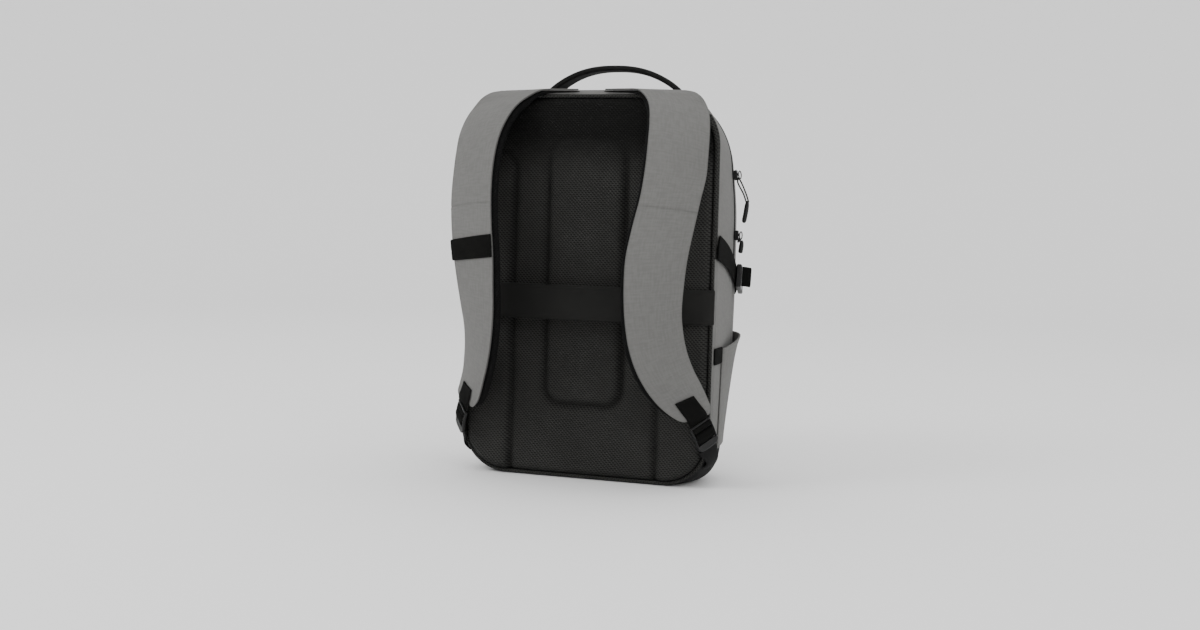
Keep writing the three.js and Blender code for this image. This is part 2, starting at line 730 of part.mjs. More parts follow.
const handleHalf = handleSpan / 2;
const handleXs = [
  ...shares(-handleHalf - handleFoot, -handleHalf, 2),
  ...shares(-handleHalf, handleHalf, 16).slice(1, -1),
  ...shares(handleHalf, handleHalf + handleFoot, 2),
];
const handleGrid = handleXs.map((x) => [-0.5, -0.17, 0.17, 0.5].map((across) => (
  handlePoint(x, handleY + across * handleWidth))));
const handleLift = (i) => handleThickness / (Math.abs(handleXs[i]) >= handleHalf ? 2 : 1);
place('haul_handle', sheet(handleGrid, 0, handleLift), 'blackWebbing');

// Bottle pockets: a wall on each side, sewn down at three edges and open at the rim.
const sideSeat = zipCoilRise + 2 * clearance;
const pocketTop = baseHeight + pocketHeight;
const pocketRows = shares(0, 1, 10);
const pocketLevels = shares(0, 1, 7);

function pocketLift(across, up) {
  return sideSeat + pocketBulge * Math.sin(Math.PI * across) ** 0.7 * up ** 2;
}

function pocketGrid(side, extra) {
  return pocketRows.map((across) => pocketLevels.map((up) => {
    const rim = pocketTop - height * pocketRimFall * (1 - across) ** 1.5;
    const z = THREE.MathUtils.lerp(baseHeight + height * pocketFloor, rim, up);
    const y = reach(z) * THREE.MathUtils.lerp(pocketRear, pocketFront, across);
    return sidePoint(side, y, z, pocketLift(across, up) + extra);
  }));
}

// A point off the body's side, along the side's own normal.
function sidePoint(side, y, z, lift) {
  const step = 1;
  const lean = (sideX(y + step, z) - sideX(y - step, z)) / (2 * step);
  const fall = (sideX(y, z + step) - sideX(y, z - step)) / (2 * step);
  const normal = new THREE.Vector3(1, -lean, -fall).normalize();
  const point = new THREE.Vector3(sideX(y, z), y, z).addScaledVector(normal, lift);
  return new THREE.Vector3(side * point.x, point.y, point.z);
}

sideNames.forEach(([name, side]) => {
  place(`bottle_pocket_${name}`, shell(pocketGrid(side, 0), pocketGrid(side, pocketWall)), 'greyCloth');
});

const tabTop = pocketTop - tabDrop;
const tabRows = shares(tabRear, pocketRear * reach(tabTop) - clearance * 4, 3);
const tabGrid = (lift) => tabRows.map((y) => [0, 0.5, 1].map((down) => (
  sidePoint(right, y, tabTop - down * tabHeight, lift))));
place('pocket_tab_right', shell(tabGrid(clothGap), tabGrid(clothGap + webbing)), 'blackWebbing');

// Side straps: webbing from the rear seam down to the front, with a fastened buckle and a folded tail.
const sideStrapRear = strapTopLevel * height;
const sideStrapTilt = Math.atan(sideStrapFall);

// A point on the side strap. It never runs back past the rear seam.
function sideStrapPoint(side, y, across, lift) {
  const z = sideStrapRear - sideStrapFall * y + across * Math.cos(sideStrapTilt);
  return sidePoint(side, Math.max(y + across * Math.sin(sideStrapTilt), webbing), z, lift);
}

const frontEnd = webbingFrontEnd * depth;
const buckleY = buckleAt * depth;
const webbingRun = [...shares(webbing, buckleY, 6), ...shares(buckleY, frontEnd, 5).slice(1)];
const sideWebbing = (side, lift) => webbingRun.map((y) => webbingAcross.map((across) => (
  sideStrapPoint(side, y, across, lift))));

// The buckle's own frame on the side strap.
function buckleFrame(y) {
  const centre = sideStrapPoint(right, y, 0, 0);
  const [before, after] = [y - webbing, y + webbing].map((at) => sideStrapPoint(right, at, 0, 0));
  const run = after.sub(before).normalize();
  const edge = webbingWidth / 4;
  const across = sideStrapPoint(right, y, edge, 0).sub(sideStrapPoint(right, y, -edge, 0))
    .projectOnPlane(run).normalize();
  const out = new THREE.Vector3().crossVectors(run, across).normalize();
  return { centre, run, across, out };
}

const buckleSeat = sideSeat + webbing + clothGap;

// The buckle's outline: half widths along its length, both as shares of its half sizes.
const buckleRows = columns('along wide', [[-1, 0.9], [-0.3, 1], [0.2, 0.8], [1, 0.9]]);

function sideBuckle(side) {
  const { centre, run, across, out } = buckleFrame(buckleY);
  const upper = buckleRows.map(({ along, wide }) => (
    new THREE.Vector2(along * buckleLength / 2, wide * buckleWidth / 2)));
  const lower = upper.map((point) => new THREE.Vector2(point.x, -point.y)).reverse();
  const shape = new THREE.Shape([...upper, ...lower].reverse());
  const geometry = new THREE.ExtrudeGeometry(shape, { depth: buckleThickness - 2 * bevelSize, ...bevel });
  geometry.translate(0, 0, bevelSize);
  geometry.applyMatrix4(basis(run, across, out, centre.addScaledVector(out, buckleSeat)));
  const solid = asGeometry(asSolid(geometry));
  return side === right ? solid : mirrored(solid);
}

function buckleTail(side) {
  const { centre, run, across, out } = buckleFrame(buckleY);
  const base = buckleSeat + buckleThickness + clearance;
  const grid = shares(0, 1, 3).map((rise) => webbingAcross.map((wide) => {
    const point = centre.clone().addScaledVector(out, base + rise * tailLength)
      .addScaledVector(run, -buckleLength * 0.25 + rise * rise * 3).addScaledVector(across, wide);
    return new THREE.Vector3(side * point.x, point.y, point.z);
  }));
  return sheet(grid, -webbing, webbing);
}

sideNames.forEach(([name, side]) => {
  const band = shell(sideWebbing(side, sideSeat), sideWebbing(side, sideSeat + webbing));
  place(`side_webbing_${name}`, band, 'blackWebbing');
  place(`side_buckle_${name}`, sideBuckle(side), 'blackPlastic');
  place(`side_tail_${name}`, buckleTail(side), 'blackWebbing');
});

// Zip sliders on the right side, each with an open ring and a moulded pull.
// The slider's frame: out of the surface, down along the zip, and across it.
function zipFrame(z) {
  const y = zipMiddle * reach(z);
  const seat = sidePoint(right, y, z, sideSeat);
  const out = seat.clone().sub(sidePoint(right, y, z, 0)).normalize();
  const below = sidePoint(right, zipMiddle * reach(z - 5), z - 5, sideSeat);
  const down = below.sub(seat).projectOnPlane(out).normalize();
  return basis(out, down, new THREE.Vector3().crossVectors(out, down), seat);
}

// A wire bent to an oval ring, turned about its long axis.
function wireRing(halfOut, halfDown, wire, turn) {
  const steps = 12;
  const rings = shares(0, 1, steps).slice(0, -1).map((share) => {
    const angle = share * Math.PI * 2;
    const radial = new THREE.Vector3(Math.cos(angle), Math.sin(angle), 0);
    const centre = new THREE.Vector3(halfOut * Math.cos(angle), halfDown * Math.sin(angle), 0);
    return shares(0, 1, 6).slice(0, -1).map((part) => {
      const round = part * Math.PI * 2;
      return centre.clone().addScaledVector(radial, wire * Math.cos(round))
        .add(new THREE.Vector3(0, 0, wire * Math.sin(round)));
    });
  });
  const geometry = skin(rings, true);
  geometry.rotateY(turn);
  return geometry;
}

// A block with its four long edges cut back.
function easedBlock(out, down, across, edge) {
  const shape = new THREE.Shape();
  shape.moveTo(-out / 2 + edge, -down / 2);
  shape.lineTo(out / 2 - edge, -down / 2);
  shape.lineTo(out / 2, -down / 2 + edge);
  shape.lineTo(out / 2, down / 2 - edge);
  shape.lineTo(out / 2 - edge, down / 2);
  shape.lineTo(-out / 2 + edge, down / 2);
  shape.lineTo(-out / 2, down / 2 - edge);
  shape.lineTo(-out / 2, -down / 2 + edge);
  const block = new THREE.ExtrudeGeometry(shape, { depth: across, bevelEnabled: false });
  return block.translate(0, 0, -across / 2);
}

const ringTurn = 0.8;
const ringHalfOut = ringRadius * 0.55;
const ringOut = sliderThickness + ringHalfOut * Math.cos(ringTurn) + ringWire + clearance * 1.2;
const postDown = 3;

function zipSlider() {
  const block = easedBlock(sliderThickness, sliderLength, sliderWidth, sliderThickness * 0.3);
  block.translate(sliderThickness / 2, 0, 0);
  const ring = wireRing(ringHalfOut, ringRadius, ringWire, ringTurn);
  ring.translate(ringOut, 0, 0);
  const post = easedBlock(ringHalfOut, postDown, sliderWidth * 0.62, ringWire * 0.5);
  post.translate(sliderThickness + ringHalfOut * 0.2, -postDown * 0.25, 0);
  return joinAll([block, post, ring]);
}

// The pull hangs from the ring: a loop, two strands side by side, and a grip.
function zipPull(length) {
  const loopDown = length * 0.11;
  const loop = wireRing(ringHalfOut, loopDown, ringWire, -ringTurn);
  loop.translate(0, loopDown, 0);
  const strandLength = length * 0.3;
  const strands = [-1, 1].map((end) => {
    const strand = easedBlock(ringWire * 2, strandLength, ringWire * 1.6, ringWire * 0.4);
    const strandDown = loopDown * 2 + strandLength / 2 - ringWire;
    return strand.translate(ringWire * 0.3, strandDown, end * ringWire * 0.7);
  });
  const gripLength = length * 0.48;
  const grip = easedBlock(pullThickness * 1.6, gripLength, pullThickness * 2.2, pullThickness * 0.5);
  grip.translate(0, loopDown * 2 + strandLength + gripLength / 2 - ringWire * 2, 0);
  return joinAll([loop, ...strands, grip]);
}

Object.entries(sliderLevels).forEach(([name, level]) => {
  const frame = zipFrame(level * height);
  place(`zip_slider_${name}`, zipSlider().applyMatrix4(frame), 'blackPlastic');
  const pull = zipPull(pullLengths[name]);
  pull.translate(ringOut, ringRadius * 0.45, 0);
  place(`zip_pull_${name}`, pull.applyMatrix4(frame), 'blackPlastic');
});

export default root;
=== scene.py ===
"""A laptop backpack seen from its back: grey cloth shell, black padded panel, two shoulder straps.

Every length is in millimetres until a mesh is made. The forms are worked out from the rear seam
plane and set down so that the middle of the base's underside is the origin, as in the frame.
"""

from __future__ import annotations

import logging
import math
from dataclasses import dataclass, field
from enum import Enum
from typing import Dict, List, Optional, Sequence, Tuple

import bmesh
import bpy
import numpy as np
from mathutils import Matrix, Vector


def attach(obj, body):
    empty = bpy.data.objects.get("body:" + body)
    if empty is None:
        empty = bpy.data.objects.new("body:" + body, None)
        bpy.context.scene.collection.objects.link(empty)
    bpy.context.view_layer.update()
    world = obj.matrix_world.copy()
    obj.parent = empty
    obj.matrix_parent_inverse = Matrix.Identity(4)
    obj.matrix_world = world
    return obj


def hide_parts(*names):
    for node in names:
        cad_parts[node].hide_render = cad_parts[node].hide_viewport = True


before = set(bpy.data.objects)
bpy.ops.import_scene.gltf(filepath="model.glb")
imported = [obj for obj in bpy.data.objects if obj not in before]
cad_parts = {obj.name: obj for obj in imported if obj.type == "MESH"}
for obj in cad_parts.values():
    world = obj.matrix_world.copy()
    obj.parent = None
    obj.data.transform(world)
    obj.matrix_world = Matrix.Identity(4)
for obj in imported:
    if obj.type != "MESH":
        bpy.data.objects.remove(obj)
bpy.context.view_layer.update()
LOG = logging.getLogger("backpack")

MM = 0.001
BASE_MIDDLE = 52.0
CLEARANCE = 0.3
CLOTH_GAP = 0.5
WEBBING_WIDTH = 25.0
WEBBING = 1.6
BODY = "root"

Array = np.ndarray


class Side(Enum):
    """The two sides of the bag, as the sign of X."""

    RIGHT = 1
    LEFT = -1

    @property
    def label(self) -> str:
        """The side's word in the names of pieces."""
        return self.name.lower()


class Slot(Enum):
    """The record's material slots."""

    GREY_CLOTH = "grey_cloth"
    BLACK_CLOTH = "black_cloth"
    BLACK_MESH = "black_mesh"
    BLACK_WEBBING = "black_webbing"
    BLACK_PLASTIC = "black_plastic"


def smooth(t: Array) -> Array:
    """Goes from 0 to 1 with a soft start and end as t does."""
    s = np.clip(t, 0.0, 1.0)
    return s * s * (3.0 - 2.0 * s)


def unit(vectors: Array) -> Array:
    """The vectors at length 1."""
    return vectors / np.maximum(np.linalg.norm(vectors, axis=-1, keepdims=True), 1e-9)


def matched(*values: Array) -> List[Array]:
    """The values as number arrays of one shared shape."""
    return np.broadcast_arrays(*(np.asarray(value, float) for value in values))


def ripple(points: Array, wavelength: float, seed: int) -> Array:
    """Soft irregular waves over points, from about -1 to 1.

    Args:
        points: Places in millimetres, with the last axis of length 3.
        wavelength: Millimetres from crest to crest.
        seed: Picks one set of waves.

    Returns:
        A height for each point.
    """
    rng = np.random.default_rng(seed)
    total = np.zeros(points.shape[:-1])
    waves = 6
    for _ in range(waves):
        direction = unit(rng.normal(size=3)) * (2.0 * math.pi / wavelength) * rng.uniform(0.6, 1.5)
        total += np.sin(points @ direction + rng.uniform(0.0, 2.0 * math.pi))
    return total / math.sqrt(2.0 * waves)


class Table:
    """Named columns of shares, each read as a smooth curve that never overshoots."""

    def __init__(self, names: str, rows: Sequence[Sequence[float]]) -> None:
        """Keeps the first column as the key of the others.

        Args:
            names: The column names, with spaces between them.
            rows: One row of numbers for each station.
        """
        values = np.array(rows, float)
        self.key = values[:, 0]
        self.columns = {name: values[:, i] for i, name in enumerate(names.split())}

    def read(self, column: str, at: Array) -> Array:
        """The column's value at each place of the key.

        Args:
            column: The name of a column.
            at: Places of the key.

        Returns:
            One value for each place.
        """
        key, values = self.key, self.columns[column]
        t = np.clip(np.asarray(at, float), key[0], key[-1])
        i = np.clip(np.searchsorted(key, t, side="right") - 1, 0, len(key) - 2)
        low, high = np.maximum(np.arange(len(key)) - 1, 0), np.minimum(np.arange(len(key)) + 1, len(key) - 1)
        slopes = (values[high] - values[low]) / (key[high] - key[low])
        run = key[i + 1] - key[i]
        rise = (values[i + 1] - values[i]) / run
        sign = np.sign(rise)
        start = sign * np.clip(slopes[i] * sign, 0.0, 3.0 * np.abs(rise)) * run
        end = sign * np.clip(slopes[i + 1] * sign, 0.0, 3.0 * np.abs(rise)) * run
        s = (t - key[i]) / run
        return ((2 * s**3 - 3 * s**2 + 1) * values[i] + (s**3 - 2 * s**2 + s) * start
                + (3 * s**2 - 2 * s**3) * values[i + 1] + (s**3 - s**2) * end)


BODY_ROWS = Table("forward side drop rise topRadius footRadius shoulder foot", [
    [0, 0, 0.013, 0.002, 0.4, 0.36, 0, 0],
    [0.03, -0.005, 0.003, 0, 0.41, 0.35, 0.003, 0.002],
    [0.08, -0.008, 0, 0, 0.42, 0.32, 0.008, 0.004],
    [0.35, -0.01, 0, 0, 0.46, 0.24, 0.038, 0.012],
    [0.58, -0.004, 0, 0, 0.5, 0.27, 0.055, 0.035],
    [0.68, 0.004, 0, 0, 0.51, 0.31, 0.06, 0.05],
    [0.78, 0.022, 0.003, 0, 0.52, 0.36, 0.065, 0.065],
    [0.87, 0.065, 0.01, 0.004, 0.54, 0.42, 0.065, 0.075],
    [0.945, 0.15, 0.03, 0.02, 0.55, 0.46, 0.065, 0.075],
    [0.985, 0.26, 0.065, 0.05, 0.52, 0.46, 0.065, 0.075],
    [1, 0.45, 0.13, 0.11, 0.42, 0.42, 0.055, 0.07],
])

DEPTH_ROWS = Table("level reach", [
    [0, 0.78], [0.1, 0.82], [0.22, 0.9], [0.38, 0.98], [0.55, 1], [0.68, 0.995],
    [0.8, 0.94], [0.9, 0.87], [1, 0.8],
])

STRAP_EDGES = np.array([
    [0.106, 0.02, 1.001, 0.742, 0.02, 0.997],
    [0.25, 0.05, 1.001, 0.82, 0.05, 0.991],
    [0.377, 0.11, 0.998, 0.88, 0.09, 0.977],
    [0.464, 0.215, 0.979, 0.934, 0.145, 0.95],
    [0.523, 0.352, 0.953, 0.967, 0.238, 0.92],
    [0.563, 0.514, 0.911, 0.987, 0.343, 0.878],
    [0.583, 0.648, 0.863, 0.993, 0.41, 0.83],
    [0.589, 0.752, 0.8, 0.993, 0.467, 0.781],
    [0.576, 0.838, 0.73, 0.974, 0.571, 0.723],
    [0.543, 0.933, 0.657, 0.947, 0.648, 0.657],
    [0.51, 0.99, 0.58, 0.914, 0.695, 0.586],
    [0.503, 0.99, 0.504, 0.887, 0.676, 0.515],
    [0.51, 0.952, 0.429, 0.868, 0.619, 0.451],
    [0.536, 0.905, 0.363, 0.868, 0.514, 0.394],
    [0.583, 0.825, 0.305, 0.887, 0.42, 0.347],
    [0.642, 0.72, 0.259, 0.921, 0.32, 0.305],
    [0.702, 0.59, 0.223, 0.962, 0.215, 0.268],
    [0.762, 0.46, 0.197, 1, 0.16, 0.235],
    [0.818, 0.36, 0.181, 1.024, 0.135, 0.211],
    [0.852, 0.3, 0.176, 1.014, 0.13, 0.195],
])

FULL_ROWS = Table("along full", [
    [0, 0.2], [0.06, 0.3], [0.13, 0.7], [0.2, 1], [0.8, 1], [0.92, 0.7], [1, 0.45],
])

TROLLEY_ROWS = Table("across hug stand", [
    [0, 1, 1], [0.3, 1, 0.96], [0.5, 1, 0.78], [0.68, 1, 0.4], [0.84, 1, 0.06],
    [0.93, 0.95, 0], [0.97, 0.66, 0], [0.99, 0.38, 0], [1, 0.2, 0],
])

UPPER_BAND = np.array([[-14.2, -0.4], [-11.6, 2.6], [-9, 3.6], [-6.9, 2.4], [-6.2, -1.2]])

LOWER_BAND = np.array([
    [-5.2, -2], [-4.6, 0.8], [-3, 3.4], [0, 4.4], [3.4, 4.2], [6.4, 2.6], [8.2, -0.6],
    [10.5, -3.2], [14, -4.1], [18.6, -4.1],
])


class Track:
    """A smooth curve through a few points, run from 0 at the first to 1 at the last."""

    def __init__(self, points: Array) -> None:
        """Takes the points as rows of any width."""
        self.points = np.asarray(points, float)

    def at(self, share: Array) -> Array:
        """The curve's points at these shares of its run.

        Args:
            share: Shares of the run, from 0 to 1.

        Returns:
            One point for each share.
        """
        p = self.points
        last = len(p) - 1
        place = np.clip(np.asarray(share, float), 0.0, 1.0) * last
        i = np.minimum(place.astype(int), last - 1)
        t = (place - i)[..., None]
        p1, p2 = p[i], p[i + 1]
        p0 = np.where((i > 0)[..., None], p[np.maximum(i - 1, 0)], 2 * p[0] - p[1])
        p3 = np.where((i + 2 <= last)[..., None], p[np.minimum(i + 2, last)], 2 * p[last] - p[last - 1])

        def gap(a: Array, b: Array) -> Array:
            """The run between two points, as the root of their distance."""
            return np.maximum(np.sum((b - a) ** 2, axis=-1, keepdims=True) ** 0.25, 1e-6)

        d0, d1, d2 = gap(p0, p1), gap(p1, p2), gap(p2, p3)
        m1 = ((p1 - p0) / d0 - (p2 - p0) / (d0 + d1) + (p2 - p1) / d1) * d1
        m2 = ((p2 - p1) / d1 - (p3 - p1) / (d1 + d2) + (p3 - p2) / d2) * d1
        return (p1 + m1 * t + (-3 * p1 + 3 * p2 - 2 * m1 - m2) * t**2
                + (2 * p1 - 2 * p2 + m1 + m2) * t**3)


@dataclass(frozen=True)
class BodyForm:
    """The outer form of the bag, from the rear seam to the front."""

    width: float = 302.0
    height: float = 452.0
    depth: float = 150.0
    shoulder_level: float = 0.68
    foot_level: float = 0.34

    @property
    def half(self) -> float:
        """Half the width."""
        return self.width / 2.0

    def reach(self, z: Array) -> Array:
        """How far the front stands from the rear seam at each height."""
        return self.depth * DEPTH_ROWS.read("reach", np.asarray(z, float) / self.height)

    def frame(self, forward: Array, inset: float = 0.0) -> Dict[str, Array]:
        """The rounded outline's sizes at a forward share, drawn in by inset.

        Args:
            forward: The share of the way from the rear seam to the front.
            inset: Millimetres that the outline is drawn in.

        Returns:
            Half width, top, bottom, radii and narrowing, in millimetres and shares.
        """
        def value(name: str) -> Array:
            """The column's value at the forward share."""
            return BODY_ROWS.read(name, forward)

        return {
            "half": self.half * (1 - value("side")) - inset,
            "top": self.height * (1 - value("drop")) - inset,
            "bottom": self.height * value("rise") + inset,
            "top_radius": self.half * value("topRadius") - inset,
            "foot_radius": self.half * value("footRadius") - inset,
            "shoulder": value("shoulder"),
            "foot": value("foot"),
        }

    def narrowing(self, sizes: Dict[str, Array], z: Array) -> Array:
        """The share of its width the outline keeps at each height.

        Args:
            sizes: The outline's sizes.
            z: Height of each place, in millimetres.

        Returns:
            A share for each height.
        """
        level = z / self.height
        shoulder = sizes["shoulder"] * smooth((level - self.shoulder_level) / (1 - self.shoulder_level))
        foot = sizes["foot"] * smooth((self.foot_level - level) / self.foot_level)
        return 1 - shoulder - foot

    def outline(self, forward: float, inset: float = 0.0) -> Array:
        """The whole outline at a forward share.

        Args:
            forward: The share of the way from the rear seam to the front.
            inset: Millimetres that the outline is drawn in.

        Returns:
            Points [x, z] from the middle of the bottom up the +X side and round.
        """
        s = self.frame(forward, inset)
        turn = np.linspace(0.0, math.pi / 2.0, 15)
        flat_x = np.linspace(0.0, s["half"] - s["foot_radius"], 11)[:-1]
        foot = np.stack([s["half"] - s["foot_radius"] * (1 - np.sin(turn)),
                         s["bottom"] + s["foot_radius"] * (1 - np.cos(turn))], -1)
        rise = np.linspace(s["bottom"] + s["foot_radius"], s["top"] - s["top_radius"], 46)[1:-1]
        turn = np.linspace(0.0, math.pi / 2.0, 21)
        arch = np.stack([s["half"] - s["top_radius"] * (1 - np.cos(turn)),
                         s["top"] - s["top_radius"] * (1 - np.sin(turn))], -1)
        top_x = np.linspace(s["half"] - s["top_radius"], 0.0, 13)[1:]
        half = np.concatenate([
            np.stack([flat_x, np.full_like(flat_x, s["bottom"])], -1), foot,
            np.stack([np.full_like(rise, s["half"]), rise], -1), arch,
            np.stack([top_x, np.full_like(top_x, s["top"])], -1)])
        half[:, 0] *= self.narrowing(s, half[:, 1])
        other = half[1:-1][::-1] * np.array([-1.0, 1.0])
        return np.concatenate([half, other])

    def ring(self, forward: float, proud: float = 0.0) -> Array:
        """The outline at a forward share as points in space, standing proud of the form.

        Args:
            forward: The share of the way from the rear seam to the front.
            proud: How far the skin stands off the form, in millimetres.

        Returns:
            Points in rows of three.
        """
        flat = self.outline(forward, -proud)
        y = forward * self.reach(flat[:, 1])
        return np.stack([flat[:, 0], y, flat[:, 1]], -1)

    def side_x(self, y: Array, z: Array) -> Array:
        """X of the +X side at each depth and height.

        Args:
            y: Distance of each place from the rear seam, in millimetres.
            z: Height of each place, in millimetres.

        Returns:
            An X for each place.
        """
        s = self.frame(y / self.reach(z))
        over = np.maximum(z - (s["top"] - s["top_radius"]), 0)
        under = np.maximum(s["bottom"] + s["foot_radius"] - z, 0)
        top_cut = s["top_radius"] - np.sqrt(np.maximum(s["top_radius"] ** 2 - over**2, 0))
        foot_cut = s["foot_radius"] - np.sqrt(np.maximum(s["foot_radius"] ** 2 - under**2, 0))
        return (s["half"] - top_cut - foot_cut) * self.narrowing(s, z)

    def side_point(self, side: Side, y: Array, z: Array, lift: Array) -> Array:
        """Points off the bag's side, lifted along the side's own normal.

        Args:
            side: The side of the bag.
            y: Distance of each place from the rear seam, in millimetres.
            z: Height of each place, in millimetres.
            lift: Millimetres off the surface.

        Returns:
            Points of the broadcast shape by 3.
        """
        y, z = np.broadcast_arrays(np.asarray(y, float), np.asarray(z, float))
        lean = (self.side_x(y + 1, z) - self.side_x(y - 1, z)) / 2
        fall = (self.side_x(y, z + 1) - self.side_x(y, z - 1)) / 2
        normal = unit(np.stack([np.ones_like(lean), -lean, -fall], -1))
        point = np.stack([self.side_x(y, z), y, z], -1) + normal * np.asarray(lift, float)[..., None]
        return point * np.array([side.value, 1.0, 1.0])

    def top_z(self, x: Array, y: Array) -> Array:
        """The height of the bag's top at each place.

        Args:
            x: X of each place, in millimetres.
            y: Distance of each place from the rear seam, in millimetres.

        Returns:
            A height for each place.
        """
        z = np.full(np.broadcast(x, y).shape, self.height)
        for _ in range(6):
            s = self.frame(y / self.reach(z))
            over = np.maximum(np.abs(x) / self.narrowing(s, z) - (s["half"] - s["top_radius"]), 0)
            z = s["top"] - s["top_radius"] + np.sqrt(np.maximum(s["top_radius"] ** 2 - over**2, 0))
        return z


FORM = BodyForm()


@dataclass
class Surface:
    """Points, faces, a cloth coordinate in metres at each face corner, and the painted shade at each point,
    which darkens the colour in grooves, creases and shaded places.
    """

    points: Array
    faces: List[Tuple[int, ...]]
    corners: List[Tuple[float, float]]
    painted_shade: Optional[Array] = None


def face_normals(grid: Array, joined: bool = False) -> Array:
    """Normals of a grid of points, across its columns and then along its rows.

    Args:
        grid: Points in rows and columns.
        joined: Whether the last column meets the first.

    Returns:
        A unit vector for each point.
    """
    along = np.gradient(grid, axis=0)
    if joined:
        across = (np.roll(grid, -1, axis=1) - np.roll(grid, 1, axis=1)) / 2
    else:
        across = np.gradient(grid, axis=1)
    return unit(np.cross(along, across))


def walk(points: Array) -> Array:
    """The distance walked along a row of points."""
    steps = np.linalg.norm(np.diff(points, axis=0), axis=1)
    return np.concatenate([[0.0], np.cumsum(steps)])


def grid_surface(grid: Array, joined: bool = False, capped: bool = False) -> Surface:
    """A surface over a grid of points.

    Args:
        grid: Rows by columns by 3, in millimetres.
        joined: Whether the last column meets the first.
        capped: Whether the first and the last row are filled across.

    Returns:
        The surface, with cloth coordinates from the distances along its rows and columns.
    """
    rows, columns = grid.shape[:2]
    middle = grid[rows // 2]
    u = walk(np.concatenate([middle, middle[:1]]) if joined else middle) * MM
    v = walk(grid.mean(axis=1) if joined else grid[:, columns // 2]) * MM
    steps = columns if joined else columns - 1
    faces, corners = [], []
    for i in range(rows - 1):
        for j in range(steps):
            k = (j + 1) % columns
            faces.append((i * columns + j, i * columns + k, (i + 1) * columns + k, (i + 1) * columns + j))
            corners += [(u[j], v[i]), (u[j + 1], v[i]), (u[j + 1], v[i + 1]), (u[j], v[i + 1])]
    if capped:
        for start in (0, (rows - 1) * columns):
            level = v[0] if start == 0 else v[-1]
            for j in range(columns // 2 - 1):
                a, b, c, d = j, j + 1, columns - 2 - j, columns - 1 - j
                faces.append((start + a, start + b, start + c, start + d))
                corners += [(u[a], level), (u[b], level), (u[b], level + MM), (u[a], level + MM)]
    return Surface(grid.reshape(-1, 3), faces, corners)


def merged(surfaces: Sequence[Surface]) -> Surface:
    """Several surfaces as one.

    Args:
        surfaces: The surfaces to join.

    Returns:
        One surface.
    """
    points, faces, corners, start = [], [], [], 0
    for surface in surfaces:
        points.append(surface.points)
        faces += [tuple(start + i for i in face) for face in surface.faces]
        corners += surface.corners
        start += len(surface.points)
    return Surface(np.concatenate(points), faces, corners)


class Facing(Enum):
    """How a mesh's faces are turned out."""

    CLOSED = "closed"
    FROM_MIDDLE = "from the bag's middle"


class Piece:
    """A mesh object of the bag, made from a surface."""

    def __init__(self, name: str, surface: Surface, facing: Facing = Facing.CLOSED) -> None:
        """Makes the object.

        Args:
            name: The piece's name.
            surface: Its points and faces.
            facing: Whether it is closed, or an open skin round the bag's middle.
        """
        mesh = bpy.data.meshes.new(name)
        placed = (surface.points - np.array([0.0, BASE_MIDDLE, 0.0])) * MM
        mesh.from_pydata(placed.tolist(), [], surface.faces)
        layer = mesh.uv_layers.new(name="cloth")
        layer.data.foreach_set("uv", np.array(surface.corners, np.float32).ravel())
        # Painted shade: a point attribute that darkens the base colour in grooves, creases and shaded
        # places.
        if surface.painted_shade is not None:
            shade = mesh.attributes.new("painted_shade", "FLOAT", "POINT")
            shade.data.foreach_set("value", np.clip(surface.painted_shade, 0.0, 1.0).astype(np.float32).ravel())
        self.object = bpy.data.objects.new(name, mesh)
        bpy.context.scene.collection.objects.link(self.object)
        self._turn_out(facing)
        mesh.shade_smooth()

    def _turn_out(self, facing: Facing) -> None:
        """Turns every face outwards.

        Args:
            facing: Whether the mesh is closed or a skin round the middle.
        """
        mesh = self.object.data
        work = bmesh.new()
        work.from_mesh(mesh)
        bmesh.ops.remove_doubles(work, verts=work.verts, dist=1e-7)
        if facing is Facing.CLOSED:
            bmesh.ops.recalc_face_normals(work, faces=work.faces)
        else:
            middle = Vector((0.0, FORM.depth / 2 - BASE_MIDDLE, FORM.height / 2)) * MM
            out = sum(face.normal.dot(face.calc_center_median() - middle) * face.calc_area()
                      for face in work.faces)
            if out < 0:
                bmesh.ops.reverse_faces(work, faces=work.faces)
        work.to_mesh(mesh)
        work.free()

    def keep(self, level: float, above: bool) -> "Piece":
        """Cuts the piece at a height in millimetres and keeps one side.

        Args:
            level: The height of the cut.
            above: Whether the upper side stays.

        Returns:
            The piece.
        """
        mesh = self.object.data
        work = bmesh.new()
        work.from_mesh(mesh)
        everything = [*work.verts, *work.edges, *work.faces]
        bmesh.ops.bisect_plane(work, geom=everything, dist=1e-7, plane_co=(0, 0, level * MM),
                               plane_no=(0, 0, 1), clear_inner=above, clear_outer=not above)
        work.to_mesh(mesh)
        work.free()
        return self

    def thicken(self, thickness: float) -> "Piece":
        """Gives an open skin a wall, inwards, in millimetres.

        Args:
            thickness: The wall's thickness.

        Returns:
            The piece.
        """
        wall = self.object.modifiers.new("wall", "SOLIDIFY")
        wall.thickness = thickness * MM
        wall.offset = -1.0
        wall.use_even_offset = True
        return self

    def wear(self, finish: "Finish", *nodes: str) -> "Piece":
        """Dresses the piece, sets it on the body and hides the frame's nodes that it replaces.

        Args:
            finish: The finish that it takes.
            nodes: The frame's nodes that it replaces.

        Returns:
            The piece.
        """
        self.object.data.materials.append(finish.material())
        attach(self.object, BODY)
        if nodes:
            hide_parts(*nodes)
        LOG.info("%s: %d faces", self.object.name, len(self.object.data.polygons))
        return self


def round_off(thing: bpy.types.Object, width: float, segments: int = 2) -> None:
    """Adds a bevel to an object's sharp edges, in millimetres.

    Args:
        thing: The object.
        width: The width of the bevel.
        segments: How many faces go round it.
    """
    bevel = thing.modifiers.new("rounding", "BEVEL")
    bevel.width = width * MM
    bevel.segments = segments
    bevel.limit_method = "ANGLE"
    bevel.angle_limit = math.radians(30)
    bevel.harden_normals = False


